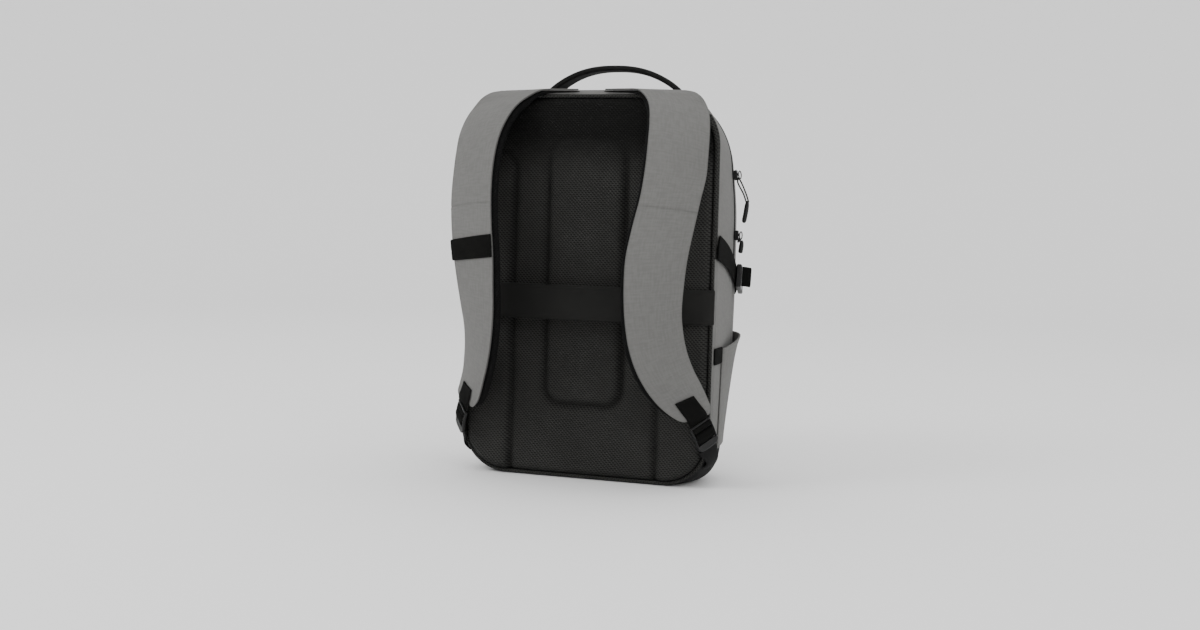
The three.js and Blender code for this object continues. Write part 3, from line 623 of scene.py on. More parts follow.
def ribbon(grid: Array, thickness: float, edge: float = 0.8, painted_shade: Optional[Array] = None) -> Surface:
    """A woven strip over a grid of middle points, with rounded selvedges.

    Args:
        grid: Rows along the strip, columns across it.
        thickness: The strip's thickness.
        edge: The width over which each side rounds off.
        painted_shade: How much painted shade each point of the grid takes, from 0 to 1.

    Returns:
        A closed surface.
    """
    normals = face_normals(grid)
    width = np.linalg.norm(grid[:, -1] - grid[:, 0], axis=-1).mean()
    share = np.linspace(0.0, 1.0, grid.shape[1])
    inside = np.clip(np.minimum(share, 1 - share) * width / edge, 0.0, 1.0)
    half = thickness / 2 * np.sqrt(np.maximum(1 - (1 - inside) ** 2, 0.04))[None, :, None]
    surface = grid_surface(np.concatenate([grid + normals * half, (grid - normals * half)[:, ::-1]], 1),
                           joined=True, capped=True)
    if painted_shade is not None:
        painted_shade = np.broadcast_to(painted_shade, grid.shape[:2])
        surface.painted_shade = np.concatenate([painted_shade, painted_shade[:, ::-1]], 1).ravel()
    return surface


def tube(path: Array, wide: Array, deep: Array, across: Array, sides: int = 14) -> Surface:
    """A round or oval rod along a path.

    Args:
        path: Points along its middle.
        wide: Half widths along across, one for each point.
        deep: Half depths square to across, one for each point.
        across: The direction of the width.
        sides: How many faces go round it.

    Returns:
        A closed surface.
    """
    run = unit(np.gradient(path, axis=0))
    side = unit(across - run * (run @ across)[:, None])
    out = np.cross(run, side)
    angle = (np.arange(sides) + 0.5) / sides * 2 * math.pi
    rings = (path[:, None] + side[:, None] * (wide[:, None] * np.cos(angle))[..., None]
             + out[:, None] * (deep[:, None] * np.sin(angle))[..., None])
    return grid_surface(rings, joined=True, capped=True)


def across_shares(count: int) -> Array:
    """Shares from 0 to 1 that crowd towards both ends."""
    t = np.linspace(0.0, 1.0, count)
    return 0.5 - 0.5 * np.cos(math.pi * t) * (0.65 + 0.35 * np.abs(np.cos(math.pi * t)))


@dataclass(frozen=True)
class StrapForm:
    """The run of a shoulder strap, from its root in the top seam to its tip."""

    reach: float = 105.0
    cover: float = 1.8
    pad: float = 9.0
    crown: float = 3.0
    edge: float = 1.6

    @property
    def tracks(self) -> List[Track]:
        """The inner and the outer edge."""
        scale = np.array([FORM.half, -self.reach, FORM.height])
        return [Track(STRAP_EDGES[:, :3] * scale), Track(STRAP_EDGES[:, 3:] * scale)]

    def point(self, side: Side, along: Array, across: Array, lift: Array) -> Array:
        """Points on the strap.

        Args:
            side: The strap's side.
            along: Shares of the run from the root.
            across: 0 at the inner edge, 1 at the outer edge.
            lift: Millimetres off the cover's face.

        Returns:
            Points of the broadcast shape by 3.
        """
        along, across, lift = matched(along, across, lift)
        inner, outer = self.tracks
        start, end = inner.at(along), outer.at(along)
        fore, aft = np.minimum(along + 0.01, 1), np.maximum(along - 0.01, 0)
        run = unit(inner.at(fore) + outer.at(fore) - inner.at(aft) - outer.at(aft))
        out = unit(np.cross(run, unit(end - start)))
        crown = self.crown * FULL_ROWS.read("full", along) * (1 - (2 * across - 1) ** 2)
        point = start + (end - start) * across[..., None] + out * (crown + lift)[..., None]
        return point * np.array([side.value, 1.0, 1.0])

    def width(self, along: Array) -> Array:
        """The strap's width at shares of its run."""
        inner, outer = self.tracks
        return np.linalg.norm(outer.at(along) - inner.at(along), axis=-1)

    def stretch(self, along: float) -> float:
        """Millimetres of strap for a whole share of its run, at one place."""
        ends = self.point(Side.RIGHT, np.array([along - 0.01, along + 0.01]), 0.5, 0.0)
        return float(np.linalg.norm(ends[1] - ends[0]) / 0.02)


STRAP = StrapForm()


@dataclass(frozen=True)
class LockForm:
    """The place of the right adjuster: its run down the webbing, across it and out of it."""

    length: float = 31.0
    gap: float = 5.0

    @property
    def directions(self) -> Tuple[Array, Array, Array]:
        """Unit vectors along, across and out.

        Returns:
            Three vectors at right angles.
        """
        run = unit(np.array([0.28, 0.38, -0.88]))
        tilted = np.array([0.56, 0.62, 0.52])
        across = unit(tilted - run * (tilted @ run))
        return run, across, np.cross(run, across)

    def point(self, side: Side, along: Array, across: Array, out: Array) -> Array:
        """Points of the adjuster, in its own directions.

        Args:
            side: The side of the bag.
            along: Millimetres down the webbing.
            across: Millimetres over the width.
            out: Millimetres out of the webbing.

        Returns:
            Points of the broadcast shape by 3.
        """
        along, across, out = matched(along, across, out)
        run, wide, up = self.directions
        centre = STRAP.point(Side.RIGHT, 1.0, 0.5, 0.0) + run * (self.gap + self.length / 2)
        point = centre + along[..., None] * run + across[..., None] * wide + out[..., None] * up
        return point * np.array([side.value, 1.0, 1.0])


LOCK = LockForm()

Socket = bpy.types.NodeSocket
Feed = object


class Network:
    """Nodes and links of one tree, made by short calls."""

    def __init__(self, tree: bpy.types.NodeTree) -> None:
        """Takes the tree to fill."""
        self.tree = tree

    def node(self, kind: str, **settings: object) -> bpy.types.Node:
        """A new node with its settings.

        Args:
            kind: The type of node.
            settings: Its fixed settings.

        Returns:
            The new node.
        """
        node = self.tree.nodes.new(kind)
        for name, value in settings.items():
            setattr(node, name, value)
        return node

    def feed(self, target: Socket, source: Feed) -> None:
        """Links a socket to a source, or sets it to a plain value.

        Args:
            target: The socket to set.
            source: A value or a socket.
        """
        if isinstance(source, bpy.types.NodeSocket):
            self.tree.links.new(source, target)
        else:
            target.default_value = source

    def math(self, operation: str, *sources: Feed, clamp: bool = False) -> Socket:
        """The result of one sum.

        Args:
            operation: The sum to make.
            sources: Its values or sockets.
            clamp: Whether the result stays from 0 to 1.

        Returns:
            The result's socket.
        """
        node = self.node("ShaderNodeMath", operation=operation, use_clamp=clamp)
        for target, source in zip(node.inputs, sources):
            self.feed(target, source)
        return node.outputs[0]

    def noise(self, vector: Feed, scale: Feed, detail: float = 2.0) -> Socket:
        """Soft noise from 0 to 1.

        Args:
            vector: Where the pattern is read.
            scale: How many waves go in a unit.
            detail: How fine it gets.

        Returns:
            The noise's socket.
        """
        node = self.node("ShaderNodeTexNoise")
        self.feed(node.inputs["Vector"], vector)
        self.feed(node.inputs["Scale"], scale)
        node.inputs["Detail"].default_value = detail
        return node.outputs["Fac"]

    def spread(self, source: Feed, low: float, high: float, to_low: float, to_high: float) -> Socket:
        """A value moved softly from one range to another.

        Args:
            source: A value or a socket.
            low: Start of the range.
            high: End of the range.
            to_low: Start of the new range.
            to_high: End of the new range.

        Returns:
            The result's socket.
        """
        node = self.node("ShaderNodeMapRange", interpolation_type="SMOOTHSTEP")
        for name, value in zip(("Value", "From Min", "From Max", "To Min", "To Max"),
                               (source, low, high, to_low, to_high)):
            self.feed(node.inputs[name], value)
        return node.outputs["Result"]

    def stretched(self, vector: Feed, scale: Tuple[float, float, float]) -> Socket:
        """A vector multiplied by one number along each axis.

        Args:
            vector: Where the pattern is read.
            scale: One number for each axis.

        Returns:
            The result's socket.
        """
        node = self.node("ShaderNodeVectorMath", operation="MULTIPLY")
        self.feed(node.inputs[0], vector)
        node.inputs[1].default_value = scale
        return node.outputs[0]

    def split(self, vector: Feed) -> Tuple[Socket, Socket]:
        """The first two numbers of a vector.

        Args:
            vector: Where the pattern is read.

        Returns:
            The two sockets.
        """
        node = self.node("ShaderNodeSeparateXYZ")
        self.feed(node.inputs[0], vector)
        return node.outputs[0], node.outputs[1]

    def shade(self, factor: Feed, dark: Sequence[float], light: Sequence[float]) -> Socket:
        """A colour between two.

        Args:
            factor: From 0 for dark to 1 for light.
            dark: The dark colour.
            light: The light colour.

        Returns:
            The colour's socket.
        """
        node = self.node("ShaderNodeMix", data_type="RGBA")
        self.feed(node.inputs["Factor"], factor)
        node.inputs[6].default_value = (*dark, 1.0)
        node.inputs[7].default_value = (*light, 1.0)
        return node.outputs[2]

    def darkened(self, color: Feed, factor: Feed) -> Socket:
        """A colour that goes most of the way to black, used to paint shade.

        Args:
            color: The colour.
            factor: How dark it goes, from 0 to 1.

        Returns:
            The colour's socket.
        """
        node = self.node("ShaderNodeMix", data_type="RGBA")
        self.feed(node.inputs["Factor"], self.math("MULTIPLY", factor, 0.8))
        self.feed(node.inputs[6], color)
        node.inputs[7].default_value = (0.0, 0.0, 0.0, 1.0)
        return node.outputs[2]

    def effect(self, group: "Effect", vector: Feed, **values: float) -> bpy.types.Node:
        """A placed effect with its own values.

        Args:
            group: The effect.
            vector: Where the pattern is read.
            values: Numbers for its inputs.

        Returns:
            The placed group.
        """
        node = self.node("ShaderNodeGroup", node_tree=group.tree())
        self.feed(node.inputs["Place"], vector)
        for name, value in values.items():
            node.inputs[name].default_value = value
        return node


class Effect(Enum):
    """Effects that several finishes share, each a node group built once."""

    WEAVE = "plain_weave"
    MELANGE = "mixed_threads"
    CELLS = "open_cells"
    RIBS = "woven_ribs"
    DRIFT = "soft_drift"

    def tree(self) -> bpy.types.NodeTree:
        """The effect's node group.

        Returns:
            The group, made on first use.
        """
        known = bpy.data.node_groups.get(self.value)
        if known:
            return known
        tree = bpy.data.node_groups.new(self.value, "ShaderNodeTree")
        tree.interface.new_socket("Place", in_out="INPUT", socket_type="NodeSocketVector")
        inputs = {Effect.WEAVE: ["Pitch"], Effect.MELANGE: ["Streak"], Effect.CELLS: ["Wide", "Tall"],
                  Effect.RIBS: ["Pitch"], Effect.DRIFT: ["Size"]}
        for name in inputs[self]:
            tree.interface.new_socket(name, in_out="INPUT", socket_type="NodeSocketFloat")
        tree.interface.new_socket("Shade", in_out="OUTPUT", socket_type="NodeSocketFloat")
        tree.interface.new_socket("Height", in_out="OUTPUT", socket_type="NodeSocketFloat")
        net = Network(tree)
        given = net.node("NodeGroupInput").outputs
        results = {Effect.WEAVE: self._weave, Effect.MELANGE: self._melange, Effect.CELLS: self._cells,
                   Effect.RIBS: self._ribs, Effect.DRIFT: self._drift}[self](net, given)
        end = net.node("NodeGroupOutput")
        for target, source in zip(end.inputs, results):
            net.feed(target, source)
        return tree

    @staticmethod
    def _weave(net: Network, given: Sequence[Socket]) -> Tuple[Socket, Socket]:
        """Threads that pass over and under each other.

        Args:
            net: The tree that the nodes go into.
            given: The group's inputs by name.

        Returns:
            The shade and the height.
        """
        x, y = net.split(given["Place"])
        turn = net.math("DIVIDE", math.pi, given["Pitch"])
        a = net.math("SINE", net.math("MULTIPLY", x, turn))
        b = net.math("SINE", net.math("MULTIPLY", y, turn))
        over = net.math("MULTIPLY", a, b)
        height = net.math("MAXIMUM", net.math("ABSOLUTE", a), net.math("ABSOLUTE", b))
        lit = net.math("MULTIPLY_ADD", over, 0.35, 0.5)
        return lit, net.math("MULTIPLY_ADD", over, 0.3, height)

    @staticmethod
    def _melange(net: Network, given: Sequence[Socket]) -> Tuple[Socket, Socket]:
        """Lighter and darker threads in short streaks, both ways of the cloth.

        Args:
            net: The tree that the nodes go into.
            given: The group's inputs by name.

        Returns:
            The shade and the height.
        """
        across = net.stretched(given["Place"], (0.16, 1.0, 1.0))
        upright = net.stretched(given["Place"], (1.0, 0.16, 1.0))
        size = net.math("DIVIDE", 1.0, given["Streak"])
        first, second = net.noise(across, size, 3.0), net.noise(upright, size, 3.0)
        both = net.math("MULTIPLY_ADD", net.math("ADD", first, second), 1.0, -0.5)
        return net.spread(both, 0.25, 0.75, 0.0, 1.0), first

    @staticmethod
    def _cells(net: Network, given: Sequence[Socket]) -> Tuple[Socket, Socket]:
        """Slanted open cells in staggered rows, dark at the bottom.

        Args:
            net: The tree that the nodes go into.
            given: The group's inputs by name.

        Returns:
            The shade and the height.
        """
        x, y = net.split(given["Place"])
        down = net.math("DIVIDE", y, given["Tall"])
        odd = net.math("MULTIPLY", net.math("MODULO", net.math("FLOOR", down), 2.0), 0.5)
        along = net.math("ADD", net.math("DIVIDE", x, given["Wide"]), odd)
        in_y = net.math("SUBTRACT", net.math("FRACT", down), 0.5)
        lean = net.math("MULTIPLY_ADD", in_y, 0.35, -0.5)
        in_x = net.math("ADD", net.math("FRACT", along), lean)
        far = net.math("SQRT", net.math("ADD", net.math("POWER", net.math("DIVIDE", in_x, 0.4), 2.0),
                                        net.math("POWER", net.math("DIVIDE", in_y, 0.42), 2.0)))
        closed = net.spread(far, 0.55, 1.15, 0.0, 1.0)
        return closed, closed

    @staticmethod
    def _ribs(net: Network, given: Sequence[Socket]) -> Tuple[Socket, Socket]:
        """Ribs along a strip, crossed by finer threads.

        Args:
            net: The tree that the nodes go into.
            given: The group's inputs by name.

        Returns:
            The shade and the height.
        """
        x, y = net.split(given["Place"])
        turn = net.math("DIVIDE", 2.0 * math.pi, given["Pitch"])
        slow = net.math("MULTIPLY", x, net.math("MULTIPLY", turn, 0.12))
        zigzag = net.math("ABSOLUTE", net.math("SINE", slow))
        shifted = net.math("ADD", y, net.math("MULTIPLY", zigzag, given["Pitch"]))
        rib = net.math("SINE", net.math("MULTIPLY", shifted, turn))
        thread = net.math("SINE", net.math("MULTIPLY", x, turn))
        height = net.math("MULTIPLY_ADD", rib, 0.35, net.math("MULTIPLY_ADD", thread, 0.15, 0.5))
        return height, height

    @staticmethod
    def _drift(net: Network, given: Sequence[Socket]) -> Tuple[Socket, Socket]:
        """Slow change from handling and light wear.

        Args:
            net: The tree that the nodes go into.
            given: The group's inputs by name.

        Returns:
            The shade and the height.
        """
        size = net.math("DIVIDE", 1.0, given["Size"])
        cloud = net.noise(given["Place"], size, 4.0)
        return net.spread(cloud, 0.3, 0.7, 0.0, 1.0), cloud


Color = Tuple[float, float, float]


def between(dark: Color, light: Color, share: float) -> Color:
    """A colour between two."""
    return tuple(a + (b - a) * share for a, b in zip(dark, light))


@dataclass(frozen=True)
class Finish:
    """A finish with its slot, its two shades and its shader's fixed numbers."""

    name: str
    slot: Slot
    dark: Color
    light: Color
    roughness: float = 0.85
    sheen: float = 0.0
    sheen_roughness: float = 0.5
    specular: float = 0.3
    bump: float = 0.3
    depth: float = 0.0002

    def material(self) -> bpy.types.Material:
        """The finish's material, built once.

        Returns:
            The material.
        """
        known = bpy.data.materials.get(self.name)
        if known:
            return known
        material = bpy.data.materials.new(self.name)
        material.use_nodes = True
        net = Network(material.node_tree)
        shader = next(n for n in material.node_tree.nodes if n.type == "BSDF_PRINCIPLED")
        shader.inputs["Roughness"].default_value = self.roughness
        shader.inputs["Sheen Weight"].default_value = self.sheen
        shader.inputs["Sheen Roughness"].default_value = self.sheen_roughness
        shader.inputs["Specular IOR Level"].default_value = self.specular
        factor, height = self.pattern(net)
        # Painted shade: the point attribute takes the base colour most of the way to black where shade
        # falls.
        painted_shade = net.node("ShaderNodeAttribute", attribute_name="painted_shade").outputs["Fac"]
        net.feed(shader.inputs["Base Color"], net.darkened(net.shade(factor, self.dark, self.light), painted_shade))
        bump = net.node("ShaderNodeBump")
        bump.inputs["Strength"].default_value = self.bump
        bump.inputs["Distance"].default_value = self.depth
        net.feed(bump.inputs["Height"], height)
        net.feed(shader.inputs["Normal"], bump.outputs["Normal"])
        material.diffuse_color = (*between(self.dark, self.light, 0.5), 1.0)
        return material

    def pattern(self, net: Network) -> Tuple[Socket, Socket]:
        """The shade from 0 to 1 and the height over the surface."""
        raise NotImplementedError

    @staticmethod
    def cloth(net: Network) -> Socket:
        """The cloth coordinate in metres."""
        return net.node("ShaderNodeUVMap", uv_map="cloth").outputs["UV"]


@dataclass(frozen=True)
class MelangeCloth(Finish):
    """Woven cloth of mixed grey threads."""

    pitch: float = 0.0007
    streak: float = 0.0022

    def pattern(self, net: Network) -> Tuple[Socket, Socket]:
        """Weave, streaks and slow drift together.

        Args:
            net: The tree that the nodes go into.

        Returns:
            The shade and the height.
        """
        place = self.cloth(net)
        weave = net.effect(Effect.WEAVE, place, Pitch=self.pitch)
        streaks = net.effect(Effect.MELANGE, place, Streak=self.streak)
        drift = net.effect(Effect.DRIFT, place, Size=0.09)
        mix = net.math("MULTIPLY_ADD", streaks.outputs["Shade"], 0.62,
                       net.math("MULTIPLY", weave.outputs["Shade"], 0.2))
        shade = net.math("MULTIPLY_ADD", drift.outputs["Shade"], 0.18, mix, clamp=True)
        height = net.math("MULTIPLY_ADD", streaks.outputs["Height"], 0.5, weave.outputs["Height"])
        return shade, height


@dataclass(frozen=True)
class PlainCloth(Finish):
    """Dense black cloth with a fine weave."""

    pitch: float = 0.0009

    def pattern(self, net: Network) -> Tuple[Socket, Socket]:
        """Weave and slow drift together.

        Args:
            net: The tree that the nodes go into.

        Returns:
            The shade and the height.
        """
        place = self.cloth(net)
        weave = net.effect(Effect.WEAVE, place, Pitch=self.pitch)
        drift = net.effect(Effect.DRIFT, place, Size=0.05)
        shade = net.math("MULTIPLY_ADD", drift.outputs["Shade"], 0.5,
                         net.math("MULTIPLY", weave.outputs["Shade"], 0.5), clamp=True)
        return shade, weave.outputs["Height"]


@dataclass(frozen=True)
class AirMesh(Finish):
    """Knitted spacer cloth with open cells over foam."""

    wide: float = 0.005
    tall: float = 0.0037

    def pattern(self, net: Network) -> Tuple[Socket, Socket]:
        """Cells, with a fine knit on the bridges between them.

        Args:
            net: The tree that the nodes go into.

        Returns:
            The shade and the height.
        """
        place = self.cloth(net)
        cells = net.effect(Effect.CELLS, place, Wide=self.wide, Tall=self.tall)
        knit = net.effect(Effect.WEAVE, place, Pitch=self.tall / 5)
        drift = net.effect(Effect.DRIFT, place, Size=0.06)
        lit = net.math("MULTIPLY_ADD", drift.outputs["Shade"], 0.25, 0.75)
        shade = net.math("MULTIPLY", cells.outputs["Shade"], lit, clamp=True)
        height = net.math("MULTIPLY_ADD", knit.outputs["Height"], 0.12, cells.outputs["Height"])
        return shade, height


@dataclass(frozen=True)
class RibbedWebbing(Finish):
    """Woven strip with ribs and a zigzag."""

    pitch: float = 0.0016

    def pattern(self, net: Network) -> Tuple[Socket, Socket]:
        """Ribs and slow drift together.

        Args:
            net: The tree that the nodes go into.

        Returns:
            The shade and the height.
        """
        place = self.cloth(net)
        ribs = net.effect(Effect.RIBS, place, Pitch=self.pitch)
        drift = net.effect(Effect.DRIFT, place, Size=0.03)
        shade = net.math("MULTIPLY_ADD", drift.outputs["Shade"], 0.3,
                         net.math("MULTIPLY", ribs.outputs["Shade"], 0.7), clamp=True)
        return shade, ribs.outputs["Height"]


@dataclass(frozen=True)
class MouldedPlastic(Finish):
    """Moulded plastic with a fine grain."""

    grain: float = 0.0006

    def pattern(self, net: Network) -> Tuple[Socket, Socket]:
        """Grain and slow drift, by the place on the object.

        Args:
            net: The tree that the nodes go into.

        Returns:
            The shade and the height.
        """
        place = net.node("ShaderNodeTexCoord").outputs["Object"]
        grain = net.noise(place, 1.0 / self.grain, 2.0)
        drift = net.effect(Effect.DRIFT, place, Size=0.01)
        return net.math("MULTIPLY_ADD", drift.outputs["Shade"], 0.5,
                        net.math("MULTIPLY", grain, 0.5), clamp=True), grain


GREY = MelangeCloth("grey_melange", Slot.GREY_CLOTH, (0.120, 0.119, 0.1145), (0.148, 0.147, 0.142),
                    roughness=0.95, sheen=0.05, specular=0.1, bump=0.2, depth=0.0002)
BLACK = PlainCloth("black_twill", Slot.BLACK_CLOTH, (0.005, 0.005, 0.005), (0.010, 0.010, 0.010),
                   roughness=0.8, specular=0.15, bump=0.35, depth=0.0003)
BAND_CLOTH = PlainCloth("black_smooth_cloth", Slot.BLACK_CLOTH, (0.0095, 0.0095, 0.009),
                        (0.0145, 0.0145, 0.0135), roughness=0.85, specular=0.12, bump=0.15,
                        depth=0.0002, pitch=0.0006)
ZIP_TAPE = RibbedWebbing("black_zip_tape", Slot.BLACK_CLOTH, (0.004, 0.004, 0.004), (0.010, 0.010, 0.010),
                         roughness=0.8, specular=0.15, bump=0.5, depth=0.0004, pitch=0.0014)
MESH = AirMesh("black_air_mesh", Slot.BLACK_MESH, (0.0090, 0.0090, 0.0084), (0.0360, 0.0360, 0.0340),
               roughness=0.95, specular=0.1, bump=0.7, depth=0.0006, wide=0.0042, tall=0.0022)
FOAM_CLOTH = AirMesh("black_strap_mesh", Slot.BLACK_MESH, (0.002, 0.002, 0.002), (0.006, 0.006, 0.006),
                     roughness=0.95, specular=0.1, bump=0.5, depth=0.0005, wide=0.0036, tall=0.002)
WEB = RibbedWebbing("black_webbing_ribs", Slot.BLACK_WEBBING, (0.003, 0.003, 0.003), (0.009, 0.009, 0.0083),
                    roughness=0.9, specular=0.04, bump=0.5, depth=0.0004)
HANDLE_WEB = RibbedWebbing("black_handle_webbing", Slot.BLACK_WEBBING, (0.006, 0.006, 0.006),
                           (0.013, 0.013, 0.0125), roughness=0.85, specular=0.12, bump=0.4, depth=0.0004)
PLASTIC = MouldedPlastic("black_acetal", Slot.BLACK_PLASTIC, (0.003, 0.003, 0.003), (0.006, 0.006, 0.006),
                         roughness=0.32, specular=0.3, bump=0.06, depth=0.0001)


def inside_rounded(x: Array, z: Array, centre: Tuple[float, float], half: Tuple[float, float],
                   radius: float) -> Array:
    """How far each place lies inside a rounded rectangle; below zero outside it.

    Args:
        x: X of each place, in millimetres.
        z: Height of each place, in millimetres.
        centre: The rectangle's middle.
        half: Half its width and height.
        radius: Its corners' radius.

    Returns:
        Millimetres inside the edge for each place.
    """
    qx = np.abs(x - centre[0]) - (half[0] - radius)
    qz = np.abs(z - centre[1]) - (half[1] - radius)
    outside = np.hypot(np.maximum(qx, 0), np.maximum(qz, 0))
    return radius - outside - np.minimum(np.maximum(qx, qz), 0)


def swell(inside: Array, run: float) -> Array:
    """A padded edge: 0 at the seam, rising round to 1 over its run."""
    t = np.clip(inside / run, 0.0, 1.0)
    return np.sqrt(np.maximum(1.0 - (1.0 - t) ** 2, 0.0))


def seam_dip(distance: Array, width: float) -> Array:
    """A sewn groove: 1 at the seam, fading out over its width."""
    return np.exp(-((distance / width) ** 2))


@dataclass
class ShellBody:
    """The bag's body: grey gusset, zip band, grey front and black base."""

    wall: float = 3.0
    base_height: float = 40.0
    seam_gap: float = 0.3
    wrap: float = 0.035
    wrap_levels: Tuple[float, float] = (262.0, 424.0)
    zip_start: float = 0.58
    zip_band: float = 5.0
    zip_low: float = 262.0
    coil_width: float = 4.0
    coil_rise: float = 0.8
    front_crown: float = 5.0
    cloth_wave: float = 0.5

    @property
    def zip_end(self) -> float:
        """Where the zip band ends, as a forward share."""
        return self.zip_start + self.zip_band / FORM.depth

    def _rings(self, forwards: Array, proud: Array) -> Array:
        """A skin over the body's outlines, with soft waves in the cloth.

        Args:
            forwards: A forward share for each ring.
            proud: A rise in millimetres for each ring.

        Returns:
            Rings of points.
        """
        grid = np.stack([FORM.ring(f, p) for f, p in zip(forwards, proud)])
        calm = smooth(grid[..., 1] / 20.0) * smooth((grid[..., 2] - 6.0) / 30.0)
        wave = ripple(grid, 110.0, 3) * self.cloth_wave * calm
        return grid + face_normals(grid, joined=True) * self._outward(grid) * wave[..., None]

    @staticmethod
    def _outward(grid: Array) -> float:
        """The sign that turns the grid's normals away from the bag's middle.

        Args:
            grid: Points in rows and columns.

        Returns:
            1 or -1.
        """
        normals = face_normals(grid, joined=True)
        middle = np.array([0.0, FORM.depth / 2, FORM.height / 2])
        return 1.0 if float(np.sum(normals * (grid - middle))) > 0 else -1.0

    def _front(self) -> Array:
        """The front face, from its rim to its middle.

        Returns:
            Rings of points.
        """
        rim = FORM.ring(1.0)
        centre = np.array([0.0, 0.0, FORM.height * 0.5])
        rows = []
        for share in 1.0 - np.linspace(0.0, 1.0, 26)[1:] ** 1.4:
            row = rim.copy()
            row[:, [0, 2]] = centre[[0, 2]] + (rim[:, [0, 2]] - centre[[0, 2]]) * share
            row[:, 1] = FORM.reach(row[:, 2]) + self.front_crown * (1 - share**2)
            row[:, 1] += ripple(row, 140.0, 8) * self.cloth_wave * 1.6 * (1 - share)
            rows.append(row)
        return np.stack(rows)

    def _skin(self, start: float, with_front: bool, end: float = 1.0) -> Array:
        """The outer skin from one forward share to another.

        Args:
            start: The first forward share.
            with_front: Whether the front face goes on.
            end: The last forward share.

        Returns:
            Rings of points.
        """
        count = max(int((end - start) * 90), 8)
        forwards = np.linspace(start, end, count)
        if start == 0.0:
            forwards = np.concatenate([[0.0, 0.004, 0.01, 0.018, 0.03], forwards[forwards > 0.04]])
        if with_front:
            forwards = np.concatenate([forwards[forwards < 0.93], 1.0 - 0.07 * np.linspace(1, 0, 16) ** 1.7])
        grid = self._rings(forwards, np.zeros(len(forwards)))
        return np.concatenate([grid, self._front()]) if with_front else grid

    def _zip_rows(self) -> Tuple[Array, Array]:
        """Forward shares and rises of the zip band, with its coil down the middle.

        Returns:
            The shares and the rises.
        """
        cut = self.seam_gap / 2 / FORM.depth
        share = np.linspace(0.0, 1.0, 27)
        forwards = self.zip_start + cut + (self.zip_end - self.zip_start - 2 * cut) * share
        off = np.abs(share - 0.5) * self.zip_band
        coil = np.sqrt(np.maximum(1 - (off / (self.coil_width / 2)) ** 2, 0.0))
        return forwards, self.coil_rise * 1.2 * coil

    def _strip(self, name: str, grid: Array, finish: Finish, node: str, bottom: Optional[float],
               top: Optional[float] = None) -> None:
        """Cuts one closed skin at its levels, gives it its wall and dresses it.

        Args:
            name: The piece's name.
            grid: Its outer skin, rings round the bag.
            finish: What it wears.
            node: The frame's node that it stands for.
            bottom: The level it is cut off below, if any.
            top: The level it is cut off above, if any.
        """
        piece = Piece(name, grid_surface(grid, joined=True), Facing.FROM_MIDDLE)
        if bottom is not None:
            piece.keep(bottom, True)
        if top is not None:
            piece.keep(top, False)
        piece.thicken(self.wall).wear(finish, node)

    def build(self) -> None:
        """Makes and dresses the shell's pieces."""
        low, high = self.base_height - self.seam_gap / 2, self.base_height + self.seam_gap / 2
        cut = self.seam_gap / 2 / FORM.depth
        bottom, top = self.wrap_levels
        forwards, proud = self._zip_rows()
        wrap = self._skin(0.0, False, self.wrap - cut)
        self._strip("back_edge_wrap", wrap, MESH, "rear_gusset", bottom, top)
        self._strip("back_edge_top", wrap, GREY, "rear_gusset", top + self.seam_gap)
        self._strip("back_edge_low", wrap, GREY, "rear_gusset", high, bottom - self.seam_gap)
        gusset = self._skin(self.wrap + cut, False, self.zip_start - cut)
        self._strip("gusset_cloth", gusset, GREY, "rear_gusset", high)
        self._strip("zip_tape_and_coil", self._rings(forwards, proud), ZIP_TAPE, "main_zip", self.zip_low)
        self._strip("gusset_low_strip", self._rings(forwards, proud * 0), GREY, "main_zip", high,
                    self.zip_low - self.seam_gap)
        self._strip("front_cloth", self._skin(self.zip_end + cut, True), GREY, "front_shell", high)
        self._strip("base_cloth", self._skin(0.0, True), BLACK, "base_panel", None, low)


